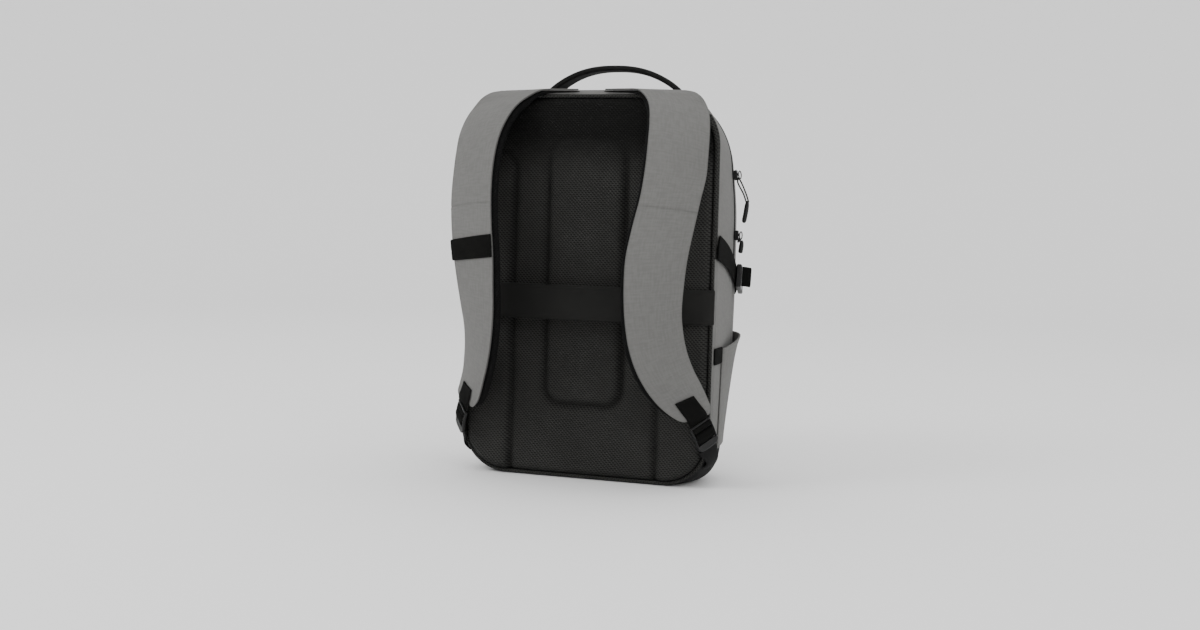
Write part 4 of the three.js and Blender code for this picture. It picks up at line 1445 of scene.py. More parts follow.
@dataclass
class BackPanel:
    """The padded mesh back with its lobe and side pads, and the piping round it."""

    plate: float = 9.0
    seat: float = 0.3
    edge_run: float = 8.0
    piping: float = 2.2
    lobe_half: float = 46.0
    lobe_levels: Tuple[float, float] = (0.197, 0.87)
    lobe_rise: float = 5.0
    lobe_run: float = 9.0
    pad_inner: float = 90.0
    pad_top: float = 0.84
    pad_rise: float = 3.6
    pad_run: float = 7.0
    lobe_fade: Tuple[float, float] = (335.0, 60.0)
    corner: float = 20.0
    channel: float = 4.2
    channel_width: float = 4.6
    shade_from: float = 345.0
    shade_run: float = 60.0

    @property
    def inset(self) -> float:
        """How far the panel's edge lies inside the rear outline."""
        return 2 * self.piping + self.seat

    def _edge_distance(self, x: Array, z: Array) -> Array:
        """How far each place lies from the panel's edge.

        Args:
            x: X of each place, in millimetres.
            z: Height of each place, in millimetres.

        Returns:
            Millimetres for each place.
        """
        edge = FORM.outline(0.0, self.inset)
        closed = np.concatenate([edge, edge[:1]])
        starts, steps = closed[:-1], np.diff(closed, axis=0)
        best = np.full(x.shape, 1e9)
        for (ax, az), (sx, sz) in zip(starts, steps):
            t = np.clip(((x - ax) * sx + (z - az) * sz) / max(sx * sx + sz * sz, 1e-9), 0.0, 1.0)
            best = np.minimum(best, np.hypot(x - ax - t * sx, z - az - t * sz))
        return best

    def _lobe(self, x: Array, z: Array) -> Array:
        """How far each place lies inside the centre lobe."""
        low, high = (level * FORM.height for level in self.lobe_levels)
        return inside_rounded(x, z, (0.0, (low + high) / 2), (self.lobe_half, (high - low) / 2), self.corner)

    def _side_pad(self, x: Array, z: Array) -> Array:
        """How far each place lies inside a side pad, which runs out to the panel's rim.

        Args:
            x: X of each place, in millimetres.
            z: Height of each place, in millimetres.

        Returns:
            Millimetres for each place.
        """
        top = self.pad_top * FORM.height
        return inside_rounded(np.abs(x), z, (self.pad_inner + FORM.half, top - FORM.height),
                              (FORM.half, FORM.height), self.corner)

    def thickness(self, x: Array, z: Array) -> Array:
        """The panel's thickness at each place of its face.

        Args:
            x: X of each place, in millimetres.
            z: Height of each place, in millimetres.

        Returns:
            Millimetres for each place.
        """
        from_rim = self._edge_distance(x, z)
        lobe, pad = self._lobe(x, z), self._side_pad(x, z)
        held = 1.0 - 0.6 * smooth((z - self.lobe_fade[0]) / self.lobe_fade[1])
        rise = self.plate * swell(from_rim, self.edge_run)
        crown = 0.8 * swell(lobe, self.lobe_run) + 0.2 * smooth(lobe / self.lobe_half)
        rise = rise + self.lobe_rise * held * crown
        rise = rise + self.pad_rise * swell(np.minimum(pad, from_rim), self.pad_run)
        for inside in (lobe, pad):
            groove = seam_dip(inside + 1.0, self.channel_width)
            rise = rise - held * self.channel * groove * swell(rise, self.plate)
        calm = smooth(from_rim / 20.0)
        place = np.stack([x, np.zeros_like(x), z], -1)
        return rise + 0.3 * ripple(place, 60.0, 5) * calm - 0.3 * calm

    def _painted_shade_map(self, x: Array, z: Array) -> Array:
        """Painted shade over the panel's face: darkening in its grooves and along its rim, and a painted
        shadow over its top.

        Args:
            x: X of each place, in millimetres.
            z: Height of each place, in millimetres.

        Returns:
            From 0 to about 1 for each place.
        """
        held = 1.0 - smooth((z - self.lobe_fade[0]) / self.lobe_fade[1])
        grooves = sum(seam_dip(inside + 1.0, self.channel_width * 0.8)
                      for inside in (self._lobe(x, z), self._side_pad(x, z)))
        rim = seam_dip(self._edge_distance(x, z), 4.0)
        # Painted shade in the grooves and at the rim, and a painted shadow over the top.
        return 0.6 * grooves * held + 0.2 * rim + 0.9 * smooth((z - self.shade_from) / self.shade_run)

    def _face(self) -> Array:
        """A grid over the panel's face, crowded towards its edges, as x and z.

        Returns:
            Points [x, z].
        """
        edge = FORM.frame(0.0, self.inset)
        share = across_shares(190)
        z = edge["bottom"] + (edge["top"] - edge["bottom"]) * share
        over = np.maximum(z - (edge["top"] - edge["top_radius"]), 0)
        under = np.maximum(edge["bottom"] + edge["foot_radius"] - z, 0)
        half = edge["half"]
        half = half - edge["top_radius"] + np.sqrt(np.maximum(edge["top_radius"] ** 2 - over**2, 0))
        half = half - edge["foot_radius"] + np.sqrt(np.maximum(edge["foot_radius"] ** 2 - under**2, 0))
        half = half * FORM.narrowing(edge, z)
        x = half[:, None] * (2 * across_shares(130) - 1)[None, :]
        return np.stack([x, np.broadcast_to(z[:, None], x.shape)], -1)

    def _panel(self) -> Surface:
        """The padded panel, closed behind.

        Returns:
            A closed surface.
        """
        face = self._face()
        x, z = face[..., 0], face[..., 1]
        deep = self.thickness(x, z)
        deep[[0, -1], :] = 0.0
        deep[:, [0, -1]] = 0.0
        deep = np.maximum(deep, 0.0)
        front = np.stack([x, -self.seat - deep, z], -1)
        back = np.stack([x, np.full_like(x, -self.seat), z], -1)
        surface = grid_surface(np.concatenate([front, back[:, ::-1]], 1), joined=True)
        flat = (surface.points[:, [0, 2]] * MM)
        corners = [tuple(flat[i]) for face_corners in surface.faces for i in face_corners]
        # The panel's hidden back takes full painted shade.
        painted_shade = np.concatenate([self._painted_shade_map(x, z), np.ones_like(x)], 1).ravel()
        return Surface(surface.points, surface.faces, corners, painted_shade)

    def _bead(self) -> Surface:
        """The piping round the panel.

        Returns:
            A closed surface.
        """
        path = FORM.outline(0.0, self.piping)
        out = unit(FORM.outline(0.0, 0.0) - path)
        angle = np.linspace(0.0, 2 * math.pi, 15)[:-1]
        centre = np.stack([path[:, 0], np.full(len(path), -self.piping - self.seat), path[:, 1]], -1)
        across = np.stack([out[:, 0], np.zeros(len(out)), out[:, 1]], -1)
        deep = np.array([0.0, 1.0, 0.0])
        rings = (centre[:, None] + self.piping * (np.cos(angle)[None, :, None] * across[:, None]
                                                  + np.sin(angle)[None, :, None] * deep))
        return grid_surface(np.concatenate([rings, rings[:1]]), joined=True)

    def build(self) -> None:
        """Makes and dresses the panel and its piping."""
        panel = Piece("back_mesh_pad", self._panel()).wear(MESH, "back_panel")
        Piece("back_edge_piping", self._bead()).wear(MESH, "panel_piping")


@dataclass
class ShoulderStrap:
    """One padded strap with its grey cover, patch, lower webbing and wing."""

    side: Side
    steps: int = 130
    foam: float = 12.0
    fold_at: float = 0.442
    fold_slant: float = 5.0
    mean_width: float = 62.0
    band_at: float = 0.52
    band_slant: float = 10.0
    patch_from: float = 0.86
    wing_thickness: float = 1.8
    wing_level: float = 0.053
    wing_rear: float = 2.0
    wing_straight: float = 10.0
    piping: float = 2.2

    def _pad(self) -> Surface:
        """The foam pad in its mesh, rounded along both edges.

        Returns:
            A closed surface.
        """
        along = np.linspace(0.0, 1.0, self.steps)[:, None]
        count = 36
        angle = (np.arange(count) + 0.5) / count * 2 * math.pi
        squareness = 0.55
        wide = np.sign(np.cos(angle)) * np.abs(np.cos(angle)) ** squareness
        thick = np.sign(np.sin(angle)) * np.abs(np.sin(angle)) ** 0.7
        full = self.foam * FULL_ROWS.read("full", along)
        edge = STRAP.edge / STRAP.width(along[:, 0])[:, None]
        across = 0.5 + (0.5 + edge) * wide[None, :]
        middle = -(STRAP.cover + CLEARANCE + full / 2)
        grid = STRAP.point(self.side, along, across, middle + full / 2 * thick[None, :])
        return grid_surface(grid, joined=True, capped=True)

    def _cover(self) -> Surface:
        """The grey cover with turned edges and a sewn cross seam.

        Returns:
            A closed surface.
        """
        along = np.linspace(0.0, 1.0, self.steps * 3)[:, None]
        across = across_shares(33)[None, :]
        slanted = (along - self.fold_at) * STRAP.stretch(self.fold_at) - self.fold_slant * (across - 0.5)
        fold = seam_dip(slanted, 1.1)
        inset = np.minimum(across, 1 - across) * self.mean_width
        lift = -STRAP.cover / 2 - 0.5 * fold + 0.25 * seam_dip(slanted - 2.0, 1.2)
        grid = STRAP.point(self.side, along, across, lift - 0.15 * seam_dip(inset - 3.5, 0.8))
        wave = 0.12 * ripple(grid, 55.0, 21 + self.side.value) * smooth(inset / 10.0)
        grid = grid + face_normals(grid) * wave[..., None]
        # Painted shade along the cross seam's fold and along the cover's turned edges.
        return ribbon(grid, STRAP.cover, 1.4, 0.22 * fold + 0.5 * seam_dip(inset, 0.7))

    def _patch(self) -> Surface:
        """The webbing patch from the strap's end to the adjuster.

        Returns:
            A closed surface.
        """
        along = np.linspace(self.patch_from, 1.0, 22)[:, None]
        wide = np.linspace(-0.5, 0.5, 13) * WEBBING_WIDTH
        across = 0.5 + wide[None, :] / STRAP.width(along[:, 0])[:, None]
        lift = CLOTH_GAP + WEBBING / 2
        on_strap = STRAP.point(self.side, along, across, lift)
        band = UPPER_BAND[:, :, None]
        through = LOCK.point(self.side, band[:, 0], wide, band[:, 1])
        stations = np.concatenate([on_strap[[0, 7, 14, 21]], through])
        path = Track(stations.reshape(len(stations), -1))
        return ribbon(path.at(np.linspace(0.0, 1.0, 90)).reshape(90, 13, 3), WEBBING)

    def _loop(self) -> Surface:
        """The lower webbing over and under the adjuster's bars.

        Returns:
            A closed surface.
        """
        path = Track(LOWER_BAND).at(np.linspace(0.0, 1.0, 70))
        wide = np.linspace(-0.5, 0.5, 11) * WEBBING_WIDTH
        return ribbon(LOCK.point(self.side, path[:, :1], wide[None, :], path[:, 1:]), WEBBING)

    def _wing(self) -> Surface:
        """The cloth wing that turns over the rear seam to the base's side.

        Returns:
            A closed surface.
        """
        along, out = LOWER_BAND[-1]
        wide = np.linspace(0.0, 1.0, 13)
        start = along + CLOTH_GAP
        seat = CLOTH_GAP + self.wing_thickness / 2
        level = self.wing_level * FORM.height
        ends = [LOCK.point(self.side, at, (wide - 0.5) * WEBBING_WIDTH, out)
                for at in (start, start + self.wing_straight)]
        ends += [FORM.side_point(self.side, self.wing_rear + wide * WEBBING_WIDTH, level + above, lift)
                 for above, lift in ((self.wing_straight, seat + 3 * self.piping), (0.0, seat))]
        t = np.linspace(0.0, 1.0, 24)[:, None, None]
        grid = ((1 - t) ** 3 * ends[0] + 3 * t * (1 - t) ** 2 * ends[1]
                + 3 * t**2 * (1 - t) * ends[2] + t**3 * ends[3])
        return ribbon(grid, self.wing_thickness, 1.0)

    def _band(self) -> Surface:
        """The webbing band across the strap, turned down over its outer edge.

        Returns:
            A closed surface.
        """
        stretch = STRAP.stretch(self.band_at)
        run = self.band_at + np.linspace(-0.5, 0.5, 19) * WEBBING_WIDTH / stretch
        width = float(STRAP.width(np.array([self.band_at]))[0])
        turn = (STRAP.edge + 3 * CLEARANCE + WEBBING / 2) / width
        rest = CLOTH_GAP + WEBBING / 2
        bend = np.linspace(0.0, math.pi / 2, 7)
        across = np.concatenate([np.linspace(0.0, 1.0, 22)[:-1], 1 + turn * np.sin(bend),
                                 np.full(8, 1 + turn)])
        lift = np.concatenate([np.full(21, rest), rest - 3.2 * (1 - np.cos(bend)),
                               np.linspace(rest - 3.6, -STRAP.pad, 8)])
        fold = 0.35 * seam_dip((np.linspace(-0.5, 0.5, 19) - 0.05) * WEBBING_WIDTH, 1.0)
        skewed = run[:, None] + self.band_slant / stretch * (across[None, :] - 0.5)
        grid = STRAP.point(self.side, skewed, across[None, :], lift[None, :] - fold[:, None])
        return ribbon(grid.transpose(1, 0, 2), WEBBING)

    def build(self) -> None:
        """Makes and dresses the strap's pieces."""
        label = self.side.label
        pad = Piece(f"strap_foam_{label}", self._pad()).wear(FOAM_CLOTH, f"strap_pad_{label}")
        Piece(f"strap_cloth_{label}", self._cover()).wear(GREY, f"strap_cover_{label}")
        Piece(f"strap_end_{label}", self._patch()).wear(WEB, f"strap_patch_{label}")
        Piece(f"strap_lower_web_{label}", self._loop()).wear(WEB, f"strap_webbing_{label}")
        Piece(f"strap_corner_wing_{label}", self._wing()).wear(BLACK, f"strap_wing_{label}")
        if self.side is Side.LEFT:
            Piece("strap_cross_band", self._band()).wear(WEB, "strap_band_left")


@dataclass
class TrolleyStrap:
    """The band that slides over a trolley handle."""

    level: float = 0.459
    height: float = 39.5
    thickness: float = 2.4
    base: float = 13.8
    stand: float = 19.0
    hem: float = 4.0

    def _sheet(self) -> Surface:
        """The band over the panel, sewn into both side seams.

        Returns:
            A closed surface.
        """
        across = np.concatenate([np.linspace(-1, -0.9, 16), np.linspace(-0.9, 0.9, 91)[1:-1],
                                 np.linspace(0.9, 1, 16)])[:, None]
        up = np.linspace(0.0, 1.0, 29)[None, :]
        z = self.level * FORM.height + (up - 0.5) * self.height
        z = np.broadcast_to(z, (len(across), up.shape[1]))
        share = np.abs(across)
        hug, stand = TROLLEY_ROWS.read("hug", share), TROLLEY_ROWS.read("stand", share)
        x = (FORM.side_x(np.zeros_like(z), z) + CLOTH_GAP + CLEARANCE) * across
        edge = np.minimum(up, 1 - up) * self.height
        groove = 0.3 * seam_dip(edge - self.hem, 0.8)
        y = -(hug * self.base + stand * self.stand) - self.thickness / 2 + groove
        grid = np.stack([x, np.broadcast_to(y, z.shape), z], -1)
        sag = 0.5 * ripple(grid, 70.0, 12) * smooth(share * 4) * smooth((0.8 - share) * 4)
        grid[..., 1] -= sag
        return ribbon(grid, self.thickness, 1.4)

    def build(self) -> None:
        """Makes and dresses the band."""
        Piece("trolley_band", self._sheet()).wear(BAND_CLOTH, "trolley_strap")


@dataclass
class HaulHandle:
    """The padded webbing arch on the top."""

    span: float = 164.0
    rise: float = 36.0
    width: float = 25.0
    thickness: float = 6.5
    foot: float = 16.0
    at: float = 0.755
    power: float = 2.4

    def _arch(self) -> Surface:
        """The arch with a flat foot at each end.

        Returns:
            A closed surface.
        """
        half = self.span / 2
        x = np.concatenate([np.linspace(-half - self.foot, -half, 12)[:-1],
                            half * np.sin(np.linspace(-0.5, 0.5, 81) * math.pi),
                            np.linspace(half, half + self.foot, 12)[1:]])[:, None]
        middle = float(FORM.reach(np.array(FORM.height))) * self.at
        y = middle + np.linspace(-0.5, 0.5, 23)[None, :] * self.width
        x, y = np.broadcast_arrays(x, y)
        ground = FORM.top_z(x, y) + CLOTH_GAP
        share = np.clip(np.abs(x) / half, 0.0, 1.0)
        arch = FORM.height + self.rise - self.thickness
        z = ground + (arch - ground) * (1 - share**self.power)
        low = np.stack([x, y, z], -1)
        off = np.abs(np.linspace(-1.0, 1.0, 23))[None, :]
        raised = smooth((half + 4 - np.abs(x)) / 10.0)
        full = self.thickness * (0.5 + 0.5 * raised)
        middle_lift = face_normals(low) * np.sign(face_normals(low)[..., 2:3])
        grid = low + middle_lift * (full / 2)[..., None]
        seam = 0.25 * seam_dip(off * self.width / 2 - (self.width / 2 - 3.2), 0.8) * raised
        round_edge = np.sqrt(np.maximum(1 - np.clip((off - 0.72) / 0.28, 0, 1) ** 2, 0.03))
        thick = (full - seam) * (0.35 + 0.65 * round_edge)
        normals = face_normals(grid)
        top, under = grid + normals * (thick / 2)[..., None], grid - normals * (thick / 2)[..., None]
        return grid_surface(np.concatenate([top, under[:, ::-1]], 1), joined=True, capped=True)

    def build(self) -> None:
        """Makes and dresses the handle."""
        handle = Piece("haul_loop", self._arch()).wear(HANDLE_WEB, "haul_handle")


@dataclass
class BottlePocket:
    """The side pocket, its hemmed rim and the small tab beside it."""

    side: Side
    height: float = 132.0
    bulge: float = 9.0
    wall: float = 1.8
    seat: float = 0.8
    floor: float = 44.52
    rear: float = 0.25
    front: float = 0.88
    rim_fall: float = 13.56
    hem: float = 9.0
    tab_height: float = 19.0
    tab_rear: float = 3.0
    tab_drop: float = 11.5

    @property
    def top(self) -> float:
        """The height of the rim at its highest."""
        return ShellBody().base_height + self.height

    def _wall(self) -> Surface:
        """The pocket's wall, sewn down at three edges and open at the rim.

        Returns:
            A closed surface.
        """
        across = np.linspace(0.0, 1.0, 49)[:, None]
        up = np.linspace(0.0, 1.0, 65)[None, :]
        rim = self.top - self.rim_fall * (1 - across) ** 1.5
        z = self.floor + (rim - self.floor) * up
        y = FORM.reach(z) * (self.rear + (self.front - self.rear) * across)
        belly = np.sin(math.pi * across) ** 0.7
        sewn = CLEARANCE + (self.seat - CLEARANCE) * smooth(belly * 3)
        lift = sewn + self.bulge * belly * up**5 + self.wall / 2
        hem = 0.35 * seam_dip((rim - z) - self.hem, 0.9) * smooth(belly * 3)
        gather = 0.3 * np.sin(across * 46.0) * smooth((up - 0.7) * 4) * belly
        grid = FORM.side_point(self.side, y, z, lift - hem + gather * 0.5)
        return ribbon(grid.transpose(1, 0, 2), self.wall, 1.2)

    def _tab(self) -> Surface:
        """The webbing tab sewn in behind the pocket's rear edge.

        Returns:
            A closed surface.
        """
        top = self.top - self.tab_drop
        end = self.rear * float(FORM.reach(np.array(top))) - 4 * CLEARANCE
        y = np.linspace(self.tab_rear, end, 24)[:, None]
        z = top - np.linspace(0.0, 1.0, 13)[None, :] * self.tab_height
        return ribbon(FORM.side_point(self.side, y, z, CLOTH_GAP + WEBBING / 2), WEBBING)

    def build(self) -> None:
        """Makes and dresses the pocket, and on the right its tab."""
        label = self.side.label
        Piece(f"pocket_cloth_{label}", self._wall()).wear(GREY, f"bottle_pocket_{label}")
        if self.side is Side.RIGHT:
            Piece("pocket_edge_tab", self._tab()).wear(WEB, "pocket_tab_right")


@dataclass
class SideStrap:
    """The compression webbing over one side, with its folded tail."""

    side: Side
    level: float = 0.597
    fall: float = 0.32
    seat: float = 1.4
    buckle_at: float = 0.7
    buckle_length: float = 33.0
    buckle_thickness: float = 6.0
    front_end: float = 0.93
    rear_rise: float = 5.5
    rear_fullness: float = 0.16
    tail_length: float = 10.0

    def _point(self, y: Array, across: Array, lift: Array) -> Array:
        """Points on the strap; it never runs back past the rear seam.

        Args:
            y: Distance of each place from the rear seam, in millimetres.
            across: Millimetres over the width.
            lift: Millimetres off the surface.

        Returns:
            Points in space.
        """
        tilt = math.atan(self.fall)
        before = np.clip(1 - y / (self.buckle_at * FORM.depth), 0.0, 1.0)
        z = self.level * FORM.height - self.fall * y + across * math.cos(tilt)
        z = z + self.rear_rise * (before**0.8 + 0.9 * np.sin(math.pi * before))
        return FORM.side_point(self.side, np.maximum(y + across * math.sin(tilt), WEBBING), z, lift)

    def _webbing(self) -> Surface:
        """The webbing from the rear seam to the front.

        Returns:
            A closed surface.
        """
        y = np.linspace(WEBBING, self.front_end * FORM.depth, 90)[:, None]
        fuller = 1.0 + self.rear_fullness * np.clip(1 - y / (self.buckle_at * FORM.depth), 0.0, 1.0)
        wide = (np.linspace(-0.5, 0.5, 13) * WEBBING_WIDTH)[None, :] * fuller
        return ribbon(self._point(y, wide, self.seat + WEBBING / 2), WEBBING)

    def _tail(self) -> Surface:
        """The webbing's end, folded out through the buckle.

        Returns:
            A closed surface.
        """
        y = np.array(self.buckle_at * FORM.depth)
        quarter = WEBBING_WIDTH / 4
        zero = np.array(0.0)
        centre = self._point(y, zero, zero)
        run = unit(self._point(y + 1, zero, zero) - self._point(y - 1, zero, zero))
        wide = self._point(y, np.array(quarter), zero) - self._point(y, np.array(-quarter), zero)
        wide = unit(wide - run * (wide @ run))
        out = np.cross(run, wide) * self.side.value
        base = self.seat + WEBBING + CLOTH_GAP + self.buckle_thickness + CLEARANCE
        rise = np.linspace(0.0, 1.0, 20)[:, None, None]
        spread = (np.linspace(-0.5, 0.5, 11) * WEBBING_WIDTH)[None, :, None]
        grid = (centre + out * (base + rise * self.tail_length)
                + run * (rise**2 * 3 - self.buckle_length * 0.25) + wide * spread)
        return ribbon(grid, WEBBING * 2)

    def build(self) -> None:
        """Makes and dresses the webbing and its tail."""
        label = self.side.label
        Piece(f"side_web_{label}", self._webbing()).wear(WEB, f"side_webbing_{label}")
        Piece(f"side_web_end_{label}", self._tail()).wear(WEB, f"side_tail_{label}")


@dataclass
class Hardware:
    """The moulded parts that keep the frame's own shape."""

    rounding: Dict[str, float] = field(default_factory=lambda: {
        "side_buckle_right": 0.8, "side_buckle_left": 0.8, "zip_slider_upper": 0.2,
        "zip_slider_lower": 0.2})

    def build(self) -> None:
        """Rounds their edges and gives them the plastic."""
        for name, width in self.rounding.items():
            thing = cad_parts[name]
            thing.data.materials.clear()
            thing.data.materials.append(PLASTIC.material())
            round_off(thing, width, 3)
            LOG.info("%s: dressed", name)


@dataclass
class Adjuster:
    """The moulded strap adjuster: two rails, three bars and a turned-up lip."""

    side: Side
    half: float = 13.8
    rail: Tuple[float, float] = (1.1, 2.3)
    rail_inset: float = 0.3
    rail_reach: float = 14.2
    rail_shift: float = -0.5
    rail_out: float = 0.2
    rail_bow: float = 1.3
    bars: Tuple[Tuple[float, float, float], ...] = ((-14.3, 2.0, 1.1), (-9.0, 0.5, 2.0), (0.5, 0.7, 2.3))
    lip: Tuple[float, float] = (9.2, 17.2)
    lip_overhang: float = 0.8
    lip_roundness: float = 0.9
    lip_rise: float = 2.6
    lip_thickness: float = 2.6
    lip_edge: float = 2.0
    stations: int = 25

    def _directions(self) -> Tuple[Array, Array]:
        """The adjuster's run and width on its own side.

        Returns:
            Two unit vectors.
        """
        flip = np.array([self.side.value, 1.0, 1.0])
        run, across, _ = LOCK.directions
        return run * flip, across * flip

    def _bars(self) -> List[Surface]:
        """The two side rails and the three cross bars.

        Returns:
            One surface for each rail and bar.
        """
        run, across = self._directions()
        share = np.linspace(-1.0, 1.0, self.stations)
        along = self.rail_shift + self.rail_reach * share
        out = self.rail_out + self.rail_bow * (1 - share**2)
        fade = 0.6 + 0.4 * np.sqrt(np.maximum(1 - share**4, 0.0))
        wide, deep = (size * fade for size in self.rail)
        parts = []
        for end in (-1, 1):
            path = LOCK.point(self.side, along, end * (self.half - self.rail_inset), out)
            parts.append(tube(path, wide, deep, across))
        for place, lift, radius in self.bars:
            path = LOCK.point(self.side, place, self.half * share, lift)
            size = np.full(self.stations, radius)
            parts.append(tube(path, size, size, run))
        return parts

    def _lip(self) -> Surface:
        """The rounded lip at the lower end, turned up for the thumb.

        Returns:
            A closed surface.
        """
        wide = np.linspace(-1.0, 1.0, self.stations)[None, :]
        near, far = self.lip
        rows = np.linspace(0.0, 1.0, 12)[:, None]
        along = near + (far - near) * np.sqrt(1 - self.lip_roundness * wide**4) * rows
        out = self.lip_rise * (0.1 + 0.9 * rows**1.5)
        grid = LOCK.point(self.side, along, wide * (self.half + self.lip_overhang), out)
        return ribbon(grid.transpose(1, 0, 2), self.lip_thickness, self.lip_edge)

    def build(self) -> None:
        """Makes and dresses the adjuster."""
        label = self.side.label
        shape = merged([*self._bars(), self._lip()])
        Piece(f"adjuster_{label}", shape).wear(PLASTIC, f"ladder_lock_{label}")


@dataclass
class ZipPull:
    """A cord loop on the slider's ring with a moulded grip.

    Places are millimetres out of the cloth and down the zip. The loop swings out to the grip's
    head at cord_end, and the grip hangs back to rest at grip_end.
    """

    name: str
    level: float
    cord_end: float
    grip_end: float
    swing: float
    rest: float
    middle: float = 0.5967
    seat: float = 1.4
    ring_out: float = 6.8
    ring_down: float = 3.4
    cord: float = 0.95
    grip: Tuple[float, float] = (2.9, 1.9)
    overlap: float = 2.0
    rib_depth: float = 0.07
    rib_turns: float = 60.0

    def _seat(self, z: Array, lift: float) -> Array:
        """A place on the zip's middle line, off the cloth by a lift."""
        return FORM.side_point(Side.RIGHT, self.middle * FORM.reach(z), z, lift)

    def _spot(self, out: Array, down: Array, across: Array) -> Array:
        """Places off the slider's seat: out of the cloth, down the zip and across it.

        Args:
            out: Millimetres out of the piece.
            down: Millimetres down the zip.
            across: Millimetres across the zip.

        Returns:
            Points in space.
        """
        z = np.array(self.level * FORM.height)
        seat = self._seat(z, self.seat)
        normal = unit(seat - self._seat(z, 0.0))
        below = self._seat(z - 5, self.seat) - seat
        fall = unit(below - normal * (below @ normal))
        side = np.cross(normal, fall)
        out, down, across = (value[..., None] for value in matched(out, down, across))
        return seat + out * normal + down * fall + across * side

    def _cord(self) -> Surface:
        """The cord loop, one strand outside the other.

        Returns:
            A closed surface.
        """
        rows = np.array([[self.swing, self.cord_end, 1.4], [self.swing * 0.82, self.cord_end * 0.7, 1.5],
                         [self.ring_out * 0.8, self.ring_down + 4.5, 1.9],
                         [self.ring_out * 0.7, self.ring_down, 0.0]])
        out, down, spread = Track(rows).at(np.linspace(0.0, 1.0, 24)).T
        path = self._spot(np.concatenate([out + spread, (out - spread)[:-1][::-1]]),
                          np.concatenate([down, down[:-1][::-1]]), 0.0)
        sides = unit(self._spot(0.0, 0.0, 1.0) - self._spot(0.0, 0.0, 0.0))
        size = np.full(len(path), self.cord)
        return tube(path, size, size, sides, 10)

    def _grip(self) -> Surface:
        """The moulded grip, ribbed along its middle.

        Returns:
            A closed surface.
        """
        share = np.linspace(0.0, 1.0, 60)
        head = self.cord_end - self.overlap
        down = head + (self.grip_end - head) * share
        out = self.swing + (self.rest - self.swing) * share**1.2
        ends = np.maximum(1 - np.abs(2 * share - 1) ** 8, 0.02) ** 0.5
        ribbed = smooth((share - 0.25) * 8) * smooth((0.85 - share) * 8)
        ribs = 1 - self.rib_depth * (0.5 + 0.5 * np.cos(share * self.rib_turns)) * ribbed
        size = ends * ribs * (0.78 + 0.22 * smooth(share * 2.5))
        normal = unit(self._spot(1.0, 0.0, 0.0) - self._spot(0.0, 0.0, 0.0))
        wide, deep = (half * size for half in self.grip)
        return tube(self._spot(out, down, 0.0), wide, deep, normal)

    def build(self) -> None:
        """Makes and dresses the pull."""
        shape = merged([self._cord(), self._grip()])
        Piece(f"zip_cord_pull_{self.name}", shape).wear(PLASTIC, f"zip_pull_{self.name}")


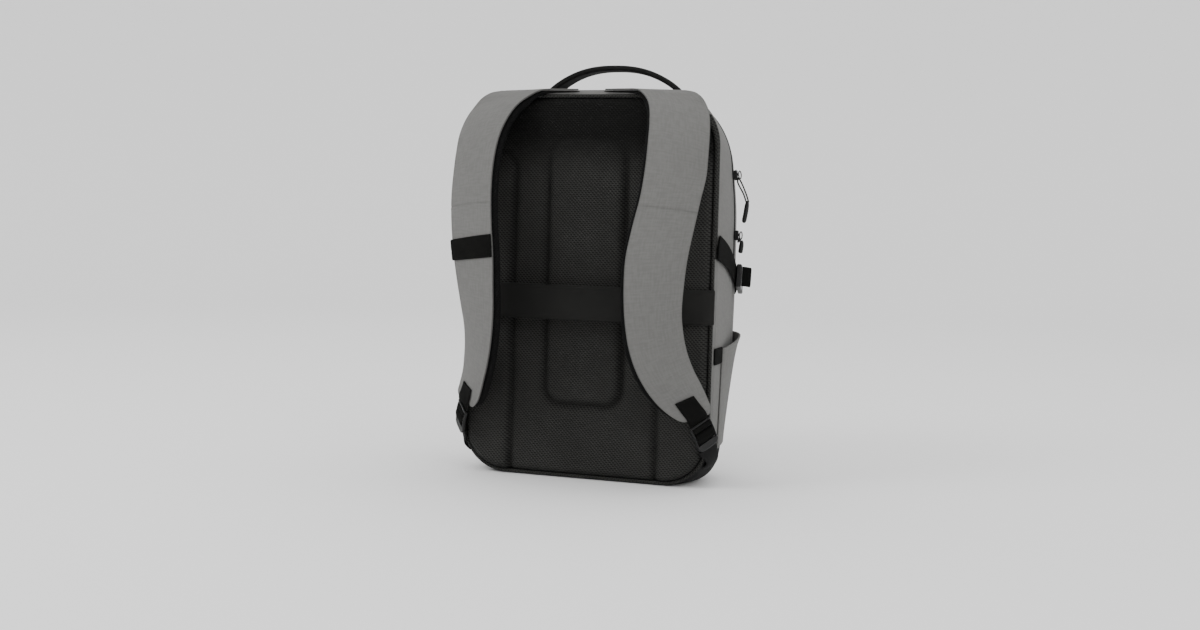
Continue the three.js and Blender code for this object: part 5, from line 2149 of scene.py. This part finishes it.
@dataclass
class Studio:
    """The pale floor that curves up all round, the soft light and the camera."""

    flat_radius: float = 3.0
    bend: float = 1.5
    wall_top: float = 1.75
    focal: float = 1400.0
    frame_width: float = 1200.0
    sensor: float = 36.0
    turn: float = math.radians(18.0)
    pitch: float = math.radians(4.04)
    roll: float = math.radians(1.48)
    place: Tuple[float, float, float] = (0.516, -1.590, 0.307)
    sky: float = 1.3
    lamps: Tuple[Tuple[str, Tuple[float, float, float], float, float], ...] = (
        ("key", (-1.5, -1.6, 2.0), 1.0, 24.0),
        ("fill", (2.0, -1.6, 1.2), 1.6, 6.0),
        ("top", (0.2, 0.3, 2.6), 1.6, 8.0))

    def _floor(self) -> None:
        """A floor that bends up into a round wall."""
        angle = np.linspace(0.0, math.pi / 2, 17)
        radius = np.concatenate([np.linspace(0.02, self.flat_radius, 20),
                                 self.flat_radius + self.bend * np.sin(angle[1:]),
                                 [self.flat_radius + self.bend]])
        height = np.concatenate([np.zeros(20), self.bend * (1 - np.cos(angle[1:])), [self.wall_top]])
        round_ = np.linspace(0.0, 2 * math.pi, 97)[:-1]
        grid = np.stack([radius[:, None] * np.cos(round_), radius[:, None] * np.sin(round_),
                         np.broadcast_to(height[:, None], (len(radius), 96))], -1)
        shape = grid_surface(grid, joined=True)
        faces = [*shape.faces, tuple(range(96))]
        mesh = bpy.data.meshes.new("studio_floor")
        mesh.from_pydata(grid.reshape(-1, 3).tolist(), [], faces)
        mesh.shade_smooth()
        floor = bpy.data.objects.new("studio_floor", mesh)
        bpy.context.scene.collection.objects.link(floor)
        material = bpy.data.materials.new("pale_paper")
        material.use_nodes = True
        net = Network(material.node_tree)
        shader = next(n for n in material.node_tree.nodes if n.type == "BSDF_PRINCIPLED")
        cloud = net.noise(net.node("ShaderNodeTexCoord").outputs["Object"], 0.6)
        net.feed(shader.inputs["Base Color"], net.shade(cloud, (0.88, 0.88, 0.88), (0.91, 0.91, 0.91)))
        shader.inputs["Roughness"].default_value = 0.9
        mesh.materials.append(material)

    def _light(self, name: str, place: Tuple[float, float, float], size: float, power: float) -> None:
        """A soft square lamp that looks at the bag's middle.

        Args:
            name: The lamp's name.
            place: Where it stands, in metres.
            size: Its edge in metres.
            power: Its power in watts.
        """
        data = bpy.data.lights.new(name, "AREA")
        data.shape, data.size, data.energy = "SQUARE", size, power
        lamp = bpy.data.objects.new(name, data)
        lamp.location = place
        look = Vector((0.0, 0.0, 0.25)) - Vector(place)
        lamp.rotation_euler = look.to_track_quat("-Z", "Y").to_euler()
        bpy.context.scene.collection.objects.link(lamp)

    def _camera(self) -> None:
        """The camera at the photograph's place."""
        a, p, r = self.turn, self.pitch, self.roll
        side = Vector((math.cos(a), math.sin(a), 0.0))
        ahead = Vector((-math.sin(a) * math.cos(p), math.cos(a) * math.cos(p), -math.sin(p)))
        up = Vector((-math.sin(a) * math.sin(p), math.cos(a) * math.sin(p), math.cos(p)))
        tilted_side = side * math.cos(r) + up * math.sin(r)
        tilted_up = up * math.cos(r) - side * math.sin(r)
        data = bpy.data.cameras.new("view")
        data.sensor_fit, data.sensor_width = "HORIZONTAL", self.sensor
        data.lens = self.focal / self.frame_width * self.sensor
        data.dof.use_dof = False
        data.clip_start, data.clip_end = 0.05, 50.0
        camera = bpy.data.objects.new("view", data)
        turn = Matrix((tilted_side, tilted_up, -ahead)).transposed()
        camera.matrix_world = Matrix.Translation(Vector(self.place)) @ turn.to_4x4()
        bpy.context.scene.collection.objects.link(camera)
        bpy.context.scene.camera = camera

    def build(self) -> None:
        """Sets the stage."""
        world = bpy.data.worlds.new("soft_room")
        world.use_nodes = True
        background = world.node_tree.nodes["Background"]
        background.inputs["Color"].default_value = (1.0, 1.0, 1.0, 1.0)
        background.inputs["Strength"].default_value = self.sky
        bpy.context.scene.world = world
        self._floor()
        for name, place, size, power in self.lamps:
            self._light(name, place, size, power)
        self._camera()


def main() -> None:
    """Builds the bag piece by piece."""
    logging.basicConfig(level=logging.INFO, format="%(name)s %(message)s")
    parts = [Studio(), ShellBody(), BackPanel(), TrolleyStrap(), HaulHandle(), Hardware()]
    for side in Side:
        parts += [ShoulderStrap(side), Adjuster(side), BottlePocket(side), SideStrap(side)]
    parts += [ZipPull("upper", 0.794, 33.0, 57.0, 13.5, 7.2), ZipPull("lower", 0.638, 9.0, 21.0, 8.2, 6.6)]
    for part in parts:
        part.build()
        LOG.info("%s done", type(part).__name__)


if __name__ == "__main__":
    main()
